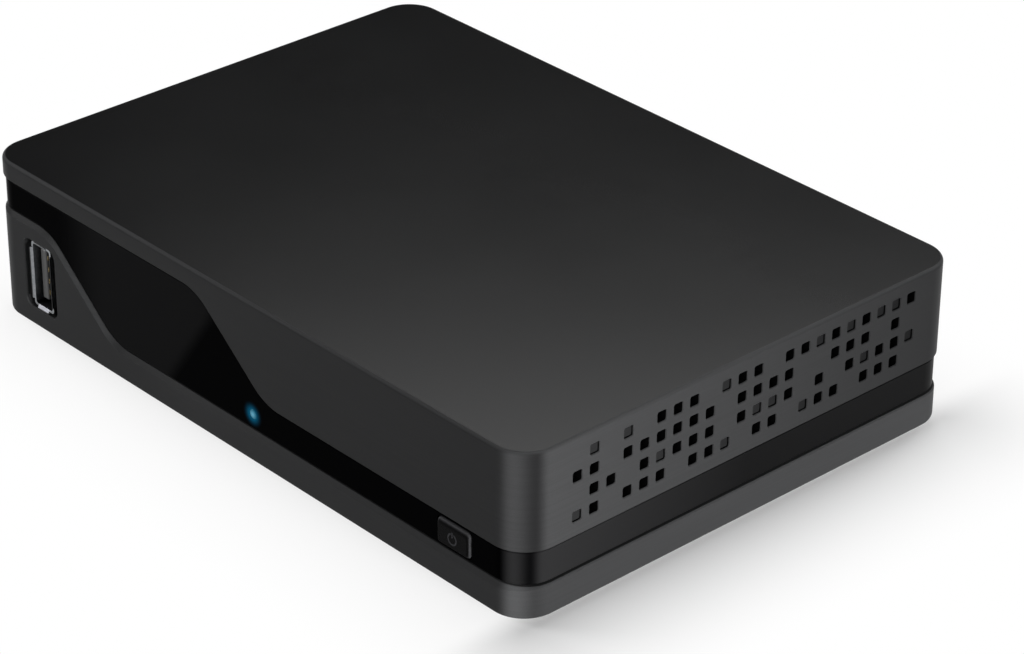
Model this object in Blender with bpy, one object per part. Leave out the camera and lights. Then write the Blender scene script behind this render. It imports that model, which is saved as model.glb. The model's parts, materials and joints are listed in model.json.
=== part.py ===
"""TV decoder box: two dark shells that interlock round a glossy band.

Metres, +Z up, the front faces -Y.  The origin is on the surface that the
rubber feet stand on, below the middle of the whole object.  Pieces hang
from an empty, case_frame, at the middle of the lower shell's underside:
inside it x runs from side to side, y from front to back and z upwards.
"""

import math

import bmesh
import bpy
from mathutils import Matrix, Vector

# Case
WIDTH = 0.1468
DEPTH = 0.1037
HEIGHT = 0.0320
CORNER_RADIUS = 0.0068
WALL = 0.0020
EDGE_BEVEL = 0.0006
FIT_GAP = 0.0003
CUT_OVERRUN = 0.0020

# Interlocking edges of the shells, from the left side and from the bottom
LIP_HEIGHT = 0.0038
STRIP_HEIGHT = 0.0063
BAND_HEIGHT = 0.0068
DEEP_PANEL_HEIGHT = 0.0218
UPPER_SWEEP_START = 0.0620
UPPER_SWEEP_END = 0.0808
LOWER_SWEEP_START = 0.0180
LOWER_SWEEP_END = 0.0368
SWEEP_FILLET = 0.0110

# Glossy band between the shells
BAND_RECESS = 0.0004
BAND_BEVEL = 0.0002
FRAME_WALL = 0.0012

# Vents: square holes on a grid, in four rows down from the top
VENT_SIZE = 0.0020
VENT_PITCH = 0.00378
VENT_START = 0.01215
VENT_TOP_DROP = 0.00376
VENT_BLIND_DEPTH = 0.0005
VENT_MARGIN = 0.0015
VENT_ROWS = (
    ".o.o.XXX.oXX.XXoXoXooX",
    "XX.XXXXXX.XXXX..XXX.X.",
    ".XX.XoXXX.XooX.X.XoXXo",
    "oX.XXX.XXo.XX.oXX.XXX.",
)

# Feet
FOOT_RADIUS = 0.0060
FOOT_HEIGHT = 0.0016
FOOT_PROUD = 0.0008
FOOT_INSET_X = 0.0215
FOOT_INSET_Y = 0.0185
FOOT_ROUNDING = 0.0004

# Screws that draw the shells together
SCREW_INSET_X = 0.0095
SCREW_INSET_FRONT = 0.0200
SCREW_INSET_REAR = 0.0140
SCREW_RADIUS = 0.0013
SCREW_LENGTH = 0.0100
SCREW_HEAD_RADIUS = 0.0025
SCREW_HEAD_HEIGHT = 0.0016
SCREW_HEAD_SINK = 0.0004
SLOT_WIDTH = 0.0006
SLOT_DEPTH = 0.0007
COLUMN_RADIUS = 0.0030
BOSS_HEIGHT = 0.0020

# Main board and what holds it
BOARD_THICKNESS = 0.0016
BOARD_SIDE_INSET = 0.0150
BOARD_FRONT_INSET = 0.0155
BOARD_REAR_INSET = 0.0042
BOARD_RISE = 0.0048
BOARD_CORNER_RADIUS = 0.0015
BOARD_SCREW_INSET = 0.0040
BOARD_SCREW_RADIUS = 0.0011
BOARD_SCREW_LENGTH = 0.0060
BOARD_SCREW_HEAD_RADIUS = 0.0022
BOARD_SCREW_HEAD_HEIGHT = 0.0014
STANDOFF_RADIUS = 0.0028

# Front board and the posts that it stands in
FRONT_BOARD_SETBACK = 0.0120
FRONT_BOARD_END_INSET = 0.0070
FRONT_BOARD_ROOF_GAP = 0.0049
POST_INSET = 0.0250
POST_WIDTH = 0.0040
POST_RIB = 0.0012
POST_HEIGHT = 0.0080

# Power button, its switch and the place of both
BUTTON_FROM_RIGHT = 0.0168
BUTTON_WIDTH = 0.0080
BUTTON_MARGIN = 0.0010
BUTTON_PROUD = 0.0004
BUTTON_BEVEL = 0.0004
BUTTON_TRAVEL = 0.0006
BUTTON_FLANGE = 0.0012
BUTTON_FLANGE_MARGIN = 0.0010
BUTTON_STEM_RADIUS = 0.0015
PLUNGER_RATIO_SHARE = 0.5
PLUNGER_END_GAP = 0.00005
SWITCH_SIZE = 0.0060
SWITCH_HEIGHT = 0.0034
PLUNGER_RADIUS = 0.0017
PLUNGER_PROUD = 0.0009
PLUNGER_DEPTH = 0.0015

# Status light
LIGHT_FROM_LEFT = 0.0768
LIGHT_DROP = 0.00025
LIGHT_RADIUS = 0.0010
LIGHT_FLANGE_RADIUS = 0.0021
LIGHT_FLANGE = 0.0008
LED_WIDTH = 0.0032
LED_HEIGHT = 0.0016
LED_THICKNESS = 0.0011

# Infrared receiver behind the glossy band
RECEIVER_FROM_LEFT = 0.0490
RECEIVER_WIDTH = 0.0053
RECEIVER_HEIGHT = 0.0068
RECEIVER_THICKNESS = 0.0030
RECEIVER_LENS_RADIUS = 0.0022
RECEIVER_LENS_RISE = 0.0012

# USB port on the front, standing on its short side
USB_FROM_LEFT = 0.0145
USB_RISE = 0.0110
USB_MOUTH_WIDTH = 0.0051
USB_MOUTH_HEIGHT = 0.0125
USB_METAL = 0.0003
USB_BACK_WALL = 0.0010
USB_SETBACK = 0.0002
USB_TONGUE_THICKNESS = 0.0018
USB_TONGUE_HEIGHT = 0.0104
USB_TONGUE_SETBACK = 0.0014
USB_TONGUE_OFFSET = -0.0008
USB_WINDOW_WIDTH = 0.0097
USB_WINDOW_HEIGHT = 0.0143
USB_WINDOW_CORNER = 0.0020

# Rear panel
PANEL_SIDE_MARGIN = 0.0012
PANEL_STRIP_MARGIN = 0.0012
PANEL_LIP_MARGIN = 0.0012
PANEL_RECESS = 0.0008
PANEL_THICKNESS = 0.0012
PANEL_SEAT = 0.0007

# Aerial socket and tuner
TUNER_WIDTH = 0.0140
TUNER_LENGTH = 0.0340
TUNER_HEIGHT = 0.0125
TUNER_LID_EDGE = 0.0008
AERIAL_REACH = 0.0090
AERIAL_RADIUS = 0.00475
AERIAL_FLANGE_RADIUS = 0.0056
AERIAL_FLANGE = 0.0013
AERIAL_BORE_RADIUS = 0.0032
AERIAL_BORE_DEPTH = 0.0070
AERIAL_GROOVE = 0.0004
AERIAL_GROOVES = 6
AERIAL_PIN_HOLE_RADIUS = 0.0006
AERIAL_INSULATOR_LENGTH = 0.0055

# Network socket
NETWORK_WIDTH = 0.0160
NETWORK_HEIGHT = 0.0115
NETWORK_LENGTH = 0.0150
NETWORK_MOUTH_WIDTH = 0.0117
NETWORK_MOUTH_HEIGHT = 0.0078
NETWORK_MOUTH_DEPTH = 0.0115
NETWORK_MOUTH_RISE = 0.0028
NETWORK_LATCH_WIDTH = 0.0040
NETWORK_LATCH_HEIGHT = 0.0018
NETWORK_CONTACT_THICKNESS = 0.0008

# Screen socket with its narrowing mouth
SCREEN_WIDTH = 0.0150
SCREEN_HEIGHT = 0.0056
SCREEN_LENGTH = 0.0110
SCREEN_METAL = 0.0004
SCREEN_CHAMFER = 0.0018
SCREEN_BACK_WALL = 0.0010
SCREEN_TONGUE_WIDTH = 0.0115
SCREEN_TONGUE_THICKNESS = 0.0014
SCREEN_TONGUE_SETBACK = 0.0012

# Audio and video socket
SOUND_WIDTH = 0.0070
SOUND_HEIGHT = 0.0062
SOUND_LENGTH = 0.0120
SOUND_COLLAR_RADIUS = 0.0030
SOUND_BORE_RADIUS = 0.0018
SOUND_BORE_DEPTH = 0.0100

# Power inlet
INLET_WIDTH = 0.0090
INLET_HEIGHT = 0.0110
INLET_LENGTH = 0.0130
INLET_BORE_RADIUS = 0.0031
INLET_BORE_DEPTH = 0.0095
INLET_RISE = 0.0062
INLET_PIN_RADIUS = 0.0010
INLET_PIN_SETBACK = 0.0012

# Row of sockets, from left to right, and how far it stands back
SOCKET_SETBACK = 0.0006
SOCKET_GAP = 0.0013
SOCKET_WIDTHS = {
    "aerial": TUNER_WIDTH,
    "network": NETWORK_WIDTH,
    "screen": SCREEN_WIDTH,
    "sound": SOUND_WIDTH,
    "inlet": INLET_WIDTH,
}

# Chips and other parts on the main board
PROCESSOR_SIZE = 0.0190
PROCESSOR_THICKNESS = 0.0016
PROCESSOR_X = 0.0060
PROCESSOR_Y = 0.0010
PAD_SIZE = 0.0150
PAD_THICKNESS = 0.0008
SINK_WIDTH = 0.0340
SINK_LENGTH = 0.0300
SINK_BASE = 0.0020
SINK_FIN_HEIGHT = 0.0070
SINK_FIN = 0.0011
SINK_FINS = 9
CHIP_THICKNESS = 0.0011
CHIP_BEVEL = 0.0002
MEMORY_WIDTH = 0.0090
MEMORY_LENGTH = 0.0130
MEMORY_GAP = 0.0040
MEMORY_BOARD_INSET = 0.0075
FLASH_WIDTH = 0.0120
FLASH_LENGTH = 0.0140
CRYSTAL_LENGTH = 0.0114
CRYSTAL_WIDTH = 0.0047
CRYSTAL_HEIGHT = 0.0035
TRANSFORMER_WIDTH = 0.0125
TRANSFORMER_LENGTH = 0.0090
TRANSFORMER_HEIGHT = 0.0055
PART_GAP = 0.0030
COIL_SIZE = 0.0073
COIL_HEIGHT = 0.0040
COIL_CORNER = 0.0014
CAPACITOR_RADIUS = 0.00315
CAPACITOR_HEIGHT = 0.0085
CAPACITOR_GROOVE = 0.0004
CAPACITOR_GROOVE_SHARE = 0.25
CAPACITOR_ROUNDING = 0.0005
CAPACITORS = 4

# Flat cable between the boards
HEADER_WIDTH = 0.0140
HEADER_HEIGHT = 0.0036
HEADER_THICKNESS = 0.0030
HEADER_X = -0.0290
HEADER_RISE = 0.0150
CABLE_THICKNESS = 0.0006
CABLE_WIDTH = 0.0120
CABLE_BEND = 0.0030

# Facets
CORNER_STEPS = 8
SWEEP_STEPS = 6
BEVEL_STEPS = 2
ROUND_STEPS = 24
SMALL_ROUND_STEPS = 16
SMOOTH_ANGLE = math.radians(30.0)

# Places worked out from the sizes above
FRONT_Y = -DEPTH / 2
BACK_Y = DEPTH / 2
LEFT_X = -WIDTH / 2
RIGHT_X = WIDTH / 2
ROOF_Z = HEIGHT - WALL
LIP_Z = HEIGHT - LIP_HEIGHT
DEEP_WALL_Z = STRIP_HEIGHT + BAND_HEIGHT
STRIP_MIDDLE_Z = STRIP_HEIGHT + BAND_HEIGHT / 2
BUTTON_HEIGHT = BAND_HEIGHT - 2 * BUTTON_MARGIN
FRAME_INSET = WALL + FIT_GAP
ROOM_INSET = FRAME_INSET + FRAME_WALL
BOARD_Z = WALL + BOARD_RISE
BOARD_TOP_Z = BOARD_Z + BOARD_THICKNESS
PART_Z = BOARD_TOP_Z + FIT_GAP
FRONT_BOARD_Y = FRONT_Y + FRONT_BOARD_SETBACK
FRONT_BOARD_BACK_Y = FRONT_BOARD_Y + BOARD_THICKNESS
SOCKET_Y = BACK_Y - SOCKET_SETBACK
BUTTON_X = RIGHT_X - BUTTON_FROM_RIGHT
SOCKET_ROW = sum(SOCKET_WIDTHS.values()) + (len(SOCKET_WIDTHS) + 1) * SOCKET_GAP
PANEL_LEFT_X = -SOCKET_ROW / 2 - PANEL_SEAT
REAR_SWEEP_END = PANEL_LEFT_X - PANEL_SIDE_MARGIN - LEFT_X
REAR_SWEEP_START = REAR_SWEEP_END - (LOWER_SWEEP_END - LOWER_SWEEP_START)
CASE_PLACE = (0.0, -AERIAL_REACH / 2, FOOT_PROUD)

CASE_FRAME = None


def clear_scene():
    """Remove whatever the scene holds."""
    for item in list(bpy.data.objects):
        bpy.data.objects.remove(item, do_unlink=True)


def plastic(name, colour, roughness, metallic=0.0):
    """Return a material with one colour, roughness and metallic value."""
    finish = bpy.data.materials.new(name)
    finish.use_nodes = True
    shader = finish.node_tree.nodes["Principled BSDF"]
    shader.inputs["Base Color"].default_value = (*colour, 1.0)
    shader.inputs["Roughness"].default_value = roughness
    shader.inputs["Metallic"].default_value = metallic
    finish.diffuse_color = (*colour, 1.0)
    return finish


def make_finishes():
    """Return every finish by its name."""
    looks = {
        "shell": ((0.030, 0.031, 0.034), 0.45, 0.0),
        "gloss": ((0.004, 0.004, 0.005), 0.08, 0.0),
        "panel": ((0.012, 0.012, 0.013), 0.50, 0.0),
        "button": ((0.020, 0.020, 0.022), 0.35, 0.0),
        "rubber": ((0.015, 0.015, 0.015), 0.85, 0.0),
        "board": ((0.010, 0.090, 0.035), 0.40, 0.0),
        "chip": ((0.012, 0.012, 0.013), 0.50, 0.0),
        "steel": ((0.55, 0.56, 0.58), 0.30, 1.0),
        "aluminium": ((0.65, 0.66, 0.68), 0.38, 1.0),
        "brass": ((0.72, 0.55, 0.28), 0.28, 1.0),
        "white": ((0.75, 0.75, 0.72), 0.40, 0.0),
        "grey": ((0.12, 0.12, 0.12), 0.45, 0.0),
        "pad": ((0.35, 0.42, 0.50), 0.80, 0.0),
        "light": ((0.25, 0.60, 0.80), 0.20, 0.0),
        "ribbon": ((0.50, 0.50, 0.52), 0.50, 0.0),
    }
    return {name: plastic(name, *look) for name, look in looks.items()}


def finish_object(name, mesh, finish, place):
    """Put a mesh in the scene under its name, hung from the case's empty."""
    item = bpy.data.objects.new(name, mesh)
    bpy.context.scene.collection.objects.link(item)
    item.parent = CASE_FRAME
    item.location = place
    if finish is not None:
        mesh.materials.append(finish)
        mesh.shade_smooth()
        mesh.set_sharp_from_angle(angle=SMOOTH_ANGLE)
    return item


def solid(name, shape, finish, place=(0.0, 0.0, 0.0)):
    """Turn a bmesh into a named piece whose faces point outwards."""
    bmesh.ops.recalc_face_normals(shape, faces=shape.faces)
    mesh = bpy.data.meshes.new(name)
    shape.to_mesh(mesh)
    shape.free()
    return finish_object(name, mesh, finish, place)


def guide(name, shape, place=(0.0, 0.0, 0.0)):
    """Turn a bmesh into a helper that cuts or extends a piece."""
    item = solid(name, shape, None, place)
    item.hide_render = True
    item.display_type = "WIRE"
    return item


def combine(item, helper, operation):
    """Cut a helper out of a piece, or add the helper to it."""
    step = item.modifiers.new(helper.name, "BOOLEAN")
    step.operation = operation
    step.solver = "EXACT"
    step.object = helper
    return step


def soften(item, width, steps):
    """Round the sharp edges that a piece has so far."""
    step = item.modifiers.new("softened_edges", "BEVEL")
    step.width = width
    step.segments = steps
    step.limit_method = "ANGLE"
    step.angle_limit = SMOOTH_ANGLE
    return step


def add_layers(shape, layers):
    """Add a closed solid through outlines with equal numbers of points."""
    rings = [[shape.verts.new(point) for point in layer] for layer in layers]
    for low, high in zip(rings, rings[1:]):
        for here in range(len(low)):
            there = (here + 1) % len(low)
            shape.faces.new((low[here], low[there], high[there], high[here]))
    shape.faces.new(list(reversed(rings[0])))
    shape.faces.new(rings[-1])


def add_box(shape, low, high):
    """Add a box between two corners."""
    corners = ((low[0], low[1]), (high[0], low[1]), (high[0], high[1]), (low[0], high[1]))
    add_layers(shape, [[(x, y, z) for x, y in corners] for z in (low[2], high[2])])


def rounded_outline(width, depth, radius, steps):
    """Return a rounded rectangle about the origin, as (x, y) points."""
    points = []
    centres = (
        (width / 2 - radius, depth / 2 - radius),
        (radius - width / 2, depth / 2 - radius),
        (radius - width / 2, radius - depth / 2),
        (width / 2 - radius, radius - depth / 2),
    )
    for quarter, (x, y) in enumerate(centres):
        for step in range(steps + 1):
            angle = math.pi / 2 * (quarter + step / steps)
            points.append((x + radius * math.cos(angle), y + radius * math.sin(angle)))
    return points


def add_case_solid(shape, inset, low_z, high_z):
    """Add a solid with the case's outline, drawn in by an inset."""
    outline = rounded_outline(
        WIDTH - 2 * inset,
        DEPTH - 2 * inset,
        max(CORNER_RADIUS - inset, FIT_GAP),
        CORNER_STEPS,
    )
    add_layers(shape, [[(x, y, z) for x, y in outline] for z in (low_z, high_z)])


def add_prism_along_y(shape, outline, low_y, high_y):
    """Add a solid whose (x, z) outline is drawn out along y."""
    add_layers(shape, [[(x, y, z) for x, z in outline] for y in (low_y, high_y)])


def add_prism_along_x(shape, outline, low_x, high_x):
    """Add a solid whose (y, z) outline is drawn out along x."""
    add_layers(shape, [[(x, y, z) for y, z in outline] for x in (low_x, high_x)])


def add_turned(shape, profile, place, steps, along_y=False):
    """Add a solid turned about z, or about y, from (radius, height) points.

    The profile starts and ends on the axis, at radius zero.
    """
    turn = Matrix.Rotation(-math.pi / 2, 3, "X") if along_y else Matrix.Identity(3)
    centre = Vector(place)
    rings = []
    for radius, height in profile:
        if radius == 0.0:
            rings.append([shape.verts.new(centre + turn @ Vector((0.0, 0.0, height)))])
            continue
        ring = []
        for step in range(steps):
            angle = math.tau * step / steps
            point = Vector((radius * math.cos(angle), radius * math.sin(angle), height))
            ring.append(shape.verts.new(centre + turn @ point))
        rings.append(ring)
    for low, high in zip(rings, rings[1:]):
        for here in range(steps):
            there = (here + 1) % steps
            corners = [low[here % len(low)], low[there % len(low)]]
            corners += [high[there % len(high)], high[here % len(high)]]
            face = list(dict.fromkeys(corners))
            shape.faces.new(face)


def rod_profile(radius, low, high):
    """Return the profile of a plain rod."""
    return [(0.0, low), (radius, low), (radius, high), (0.0, high)]


def swept_edge(start, end, high_z, low_z):
    """Return the (x, z) line of a shell's edge, from left to right.

    It runs level at high_z up to start, slopes to low_z at end and runs on
    level.  Both bends are arcs of the sweep's fillet.  start and end are
    measured from the left side.
    """
    start_x = LEFT_X + start
    end_x = LEFT_X + end
    slope = math.atan2(high_z - low_z, end_x - start_x)
    room = math.hypot(high_z - low_z, end_x - start_x) / 2
    fillet = min(SWEEP_FILLET, room / math.tan(slope / 2))
    tangent = fillet * math.tan(slope / 2)
    line = [(LEFT_X - CUT_OVERRUN, high_z)]
    for step in range(SWEEP_STEPS + 1):
        turn = slope * step / SWEEP_STEPS
        bend = (fillet * math.sin(turn), fillet * (1 - math.cos(turn)))
        line.append((start_x - tangent + bend[0], high_z - bend[1]))
    for step in range(SWEEP_STEPS, -1, -1):
        turn = slope * step / SWEEP_STEPS
        bend = (fillet * math.sin(turn), fillet * (1 - math.cos(turn)))
        line.append((end_x + tangent - bend[0], low_z + bend[1]))
    line.append((RIGHT_X + CUT_OVERRUN, low_z))
    return line


def upper_front_edge():
    """Return the upper shell's lower edge on the front."""
    return swept_edge(UPPER_SWEEP_START, UPPER_SWEEP_END, LIP_Z, DEEP_WALL_Z)


def upper_rear_edge():
    """Return the upper shell's lower edge on the rear."""
    return swept_edge(WIDTH - REAR_SWEEP_END, WIDTH - REAR_SWEEP_START, LIP_Z, DEEP_WALL_Z)


def lower_front_edge():
    """Return the lower shell's upper edge on the front."""
    return swept_edge(LOWER_SWEEP_START, LOWER_SWEEP_END, DEEP_PANEL_HEIGHT, STRIP_HEIGHT)


def lower_rear_edge():
    """Return the lower shell's upper edge on the rear."""
    return swept_edge(REAR_SWEEP_START, REAR_SWEEP_END, DEEP_PANEL_HEIGHT, STRIP_HEIGHT)


def add_beyond_edge(shape, edge, shift_z, far_z, low_y, high_y):
    """Add everything between an edge, moved by shift_z, and a far level."""
    outline = [(x, z + shift_z) for x, z in edge]
    outline += [(edge[-1][0], far_z), (edge[0][0], far_z)]
    add_prism_along_y(shape, outline, low_y, high_y)


def mirrored_places(inset_x, low_y, high_y):
    """Return four (x, y) places by name, an inset from the sides."""
    return {
        "front_left": (LEFT_X + inset_x, low_y),
        "front_right": (RIGHT_X - inset_x, low_y),
        "rear_left": (LEFT_X + inset_x, high_y),
        "rear_right": (RIGHT_X - inset_x, high_y),
    }


def screw_places():
    """Return where the case screws stand."""
    return mirrored_places(SCREW_INSET_X, FRONT_Y + SCREW_INSET_FRONT, BACK_Y - SCREW_INSET_REAR)


def board_screw_places():
    """Return where the main board's screws stand."""
    low_y = FRONT_Y + BOARD_FRONT_INSET + BOARD_SCREW_INSET
    high_y = BACK_Y - BOARD_REAR_INSET - BOARD_SCREW_INSET
    return mirrored_places(BOARD_SIDE_INSET + BOARD_SCREW_INSET, low_y, high_y)


def foot_places():
    """Return where the feet stand."""
    return mirrored_places(FOOT_INSET_X, FRONT_Y + FOOT_INSET_Y, BACK_Y - FOOT_INSET_Y)


def vent_cutter(name, turned_over):
    """Return the vents of the right side, or of the left, turned over."""
    shape = bmesh.new()
    for row, marks in enumerate(VENT_ROWS):
        height = HEIGHT - VENT_TOP_DROP - row * VENT_PITCH
        for column, mark in enumerate(marks):
            if mark == ".":
                continue
            depth = WALL + CUT_OVERRUN if mark == "X" else VENT_BLIND_DEPTH
            y = FRONT_Y + VENT_START + column * VENT_PITCH
            side = -1.0 if turned_over else 1.0
            z = HEIGHT - height if turned_over else height
            face = side * WIDTH / 2
            ends = sorted((face + side * CUT_OVERRUN, face - side * depth))
            low = (ends[0], y - VENT_SIZE / 2, z - VENT_SIZE / 2)
            high = (ends[1], y + VENT_SIZE / 2, z + VENT_SIZE / 2)
            add_box(shape, low, high)
    return guide(name, shape)


def trim_front_and_rear(item, name, edges, shift_z, far_z):
    """Cut a piece back to its edges: one on the front half, one on the rear."""
    spans = ((FRONT_Y - CUT_OVERRUN, CUT_OVERRUN), (-CUT_OVERRUN, BACK_Y + CUT_OVERRUN))
    for side, edge, span in zip(("front", "rear"), edges, spans):
        shape = bmesh.new()
        add_beyond_edge(shape, edge, shift_z, far_z, *span)
        combine(item, guide(f"{name}_{side}_sweep", shape), "DIFFERENCE")


def make_upper_shell(finishes):
    """Top, lip and deep right wall, with screw columns hanging inside."""
    shape = bmesh.new()
    add_case_solid(shape, 0.0, 0.0, HEIGHT)
    shell = solid("upper_shell", shape, finishes["shell"])

    trim_front_and_rear(shell, "upper", (upper_front_edge(), upper_rear_edge()), 0.0, -CUT_OVERRUN)
    soften(shell, EDGE_BEVEL, BEVEL_STEPS)

    room = bmesh.new()
    add_case_solid(room, WALL, -CUT_OVERRUN, ROOF_Z)
    combine(shell, guide("upper_room", room), "DIFFERENCE")
    combine(shell, vent_cutter("right_vents", False), "DIFFERENCE")

    columns = bmesh.new()
    bores = bmesh.new()
    column_z = WALL + BOSS_HEIGHT + FIT_GAP
    bore_top_z = SCREW_HEAD_SINK + SCREW_HEAD_HEIGHT + SCREW_LENGTH + FIT_GAP
    for x, y in screw_places().values():
        profile = rod_profile(COLUMN_RADIUS, column_z, ROOF_Z + WALL / 2)
        add_turned(columns, profile, (x, y, 0.0), SMALL_ROUND_STEPS)
        bore = rod_profile(SCREW_RADIUS + FIT_GAP, column_z - CUT_OVERRUN, bore_top_z)
        add_turned(bores, bore, (x, y, 0.0), SMALL_ROUND_STEPS)
    combine(shell, guide("upper_columns", columns), "UNION")
    combine(shell, guide("upper_bores", bores), "DIFFERENCE")
    return shell


def usb_window_cutter():
    """Return the rounded window that the USB port stands in."""
    middle_x = LEFT_X + USB_FROM_LEFT
    outline = rounded_outline(USB_WINDOW_WIDTH, USB_WINDOW_HEIGHT, USB_WINDOW_CORNER, CORNER_STEPS // 2)
    layers = []
    for y in (FRONT_Y - CUT_OVERRUN, FRONT_Y + WALL + CUT_OVERRUN):
        layers.append([(middle_x + x, y, USB_RISE + z) for x, z in outline])
    shape = bmesh.new()
    add_layers(shape, layers)
    return guide("usb_window", shape)


def make_lower_shell(finishes):
    """Floor, strip and deep left wall, with the bosses and posts inside."""
    shape = bmesh.new()
    add_case_solid(shape, 0.0, 0.0, HEIGHT)
    shell = solid("lower_shell", shape, finishes["shell"])

    far_z = HEIGHT + CUT_OVERRUN
    trim_front_and_rear(shell, "lower", (lower_front_edge(), lower_rear_edge()), 0.0, far_z)
    soften(shell, EDGE_BEVEL, BEVEL_STEPS)

    room = bmesh.new()
    add_case_solid(room, WALL, WALL, HEIGHT + CUT_OVERRUN)
    combine(shell, guide("lower_room", room), "DIFFERENCE")
    combine(shell, vent_cutter("left_vents", True), "DIFFERENCE")
    combine(shell, usb_window_cutter(), "DIFFERENCE")

    raised = bmesh.new()
    boss = rod_profile(COLUMN_RADIUS, WALL / 2, WALL + BOSS_HEIGHT)
    for x, y in screw_places().values():
        add_turned(raised, boss, (x, y, 0.0), SMALL_ROUND_STEPS)
    standoff = rod_profile(STANDOFF_RADIUS, WALL / 2, BOARD_Z - FIT_GAP)
    for x, y in board_screw_places().values():
        add_turned(raised, standoff, (x, y, 0.0), SMALL_ROUND_STEPS)
    for side in (-1.0, 1.0):
        add_post(raised, side * (WIDTH / 2 - POST_INSET))
    combine(shell, guide("lower_bosses", raised), "UNION")

    holes = bmesh.new()
    head_radius = SCREW_HEAD_RADIUS + FIT_GAP
    seat_z = SCREW_HEAD_SINK + SCREW_HEAD_HEIGHT + FIT_GAP
    through = SCREW_RADIUS + FIT_GAP
    boss_top = WALL + BOSS_HEIGHT + CUT_OVERRUN
    stepped = [(0.0, -CUT_OVERRUN), (head_radius, -CUT_OVERRUN), (head_radius, seat_z)]
    stepped += [(through, seat_z), (through, boss_top), (0.0, boss_top)]
    for x, y in screw_places().values():
        add_turned(holes, stepped, (x, y, 0.0), SMALL_ROUND_STEPS)
    bore_z = PART_Z - BOARD_SCREW_LENGTH - FIT_GAP
    for x, y in board_screw_places().values():
        bore = rod_profile(BOARD_SCREW_RADIUS + FIT_GAP, bore_z, BOARD_Z + CUT_OVERRUN)
        add_turned(holes, bore, (x, y, 0.0), SMALL_ROUND_STEPS)
    pocket_z = FOOT_HEIGHT - FOOT_PROUD + FIT_GAP
    for x, y in foot_places().values():
        pocket = rod_profile(FOOT_RADIUS + FIT_GAP, -CUT_OVERRUN, pocket_z)
        add_turned(holes, pocket, (x, y, 0.0), ROUND_STEPS)
    combine(shell, guide("lower_holes", holes), "DIFFERENCE")
    return shell


def add_post(shape, middle_x):
    """Add a post with a slot that the front board stands in."""
    slot_low = FRONT_BOARD_Y - FIT_GAP
    slot_high = FRONT_BOARD_BACK_Y + FIT_GAP
    floor_z = WALL
    top_z = WALL + POST_HEIGHT
    root_z = WALL / 2
    outline = [
        (slot_low - POST_RIB, root_z),
        (slot_high + POST_RIB, root_z),
        (slot_high + POST_RIB, top_z),
        (slot_high, top_z),
        (slot_high, floor_z + FIT_GAP),
        (slot_low, floor_z + FIT_GAP),
        (slot_low, top_z),
        (slot_low - POST_RIB, top_z),
    ]
    add_prism_along_x(shape, outline, middle_x - POST_WIDTH / 2, middle_x + POST_WIDTH / 2)


def panel_box(inset_y, depth, seat):
    """Return the corners of a box with the rear panel's outline, drawn in by a seat."""
    low_x = PANEL_LEFT_X + seat
    low_z = STRIP_HEIGHT + PANEL_STRIP_MARGIN + seat
    high_z = LIP_Z - PANEL_LIP_MARGIN - seat
    low = (low_x, BACK_Y - inset_y - depth, low_z)
    high = (-low_x, BACK_Y - inset_y, high_z)
    return low, high


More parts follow.
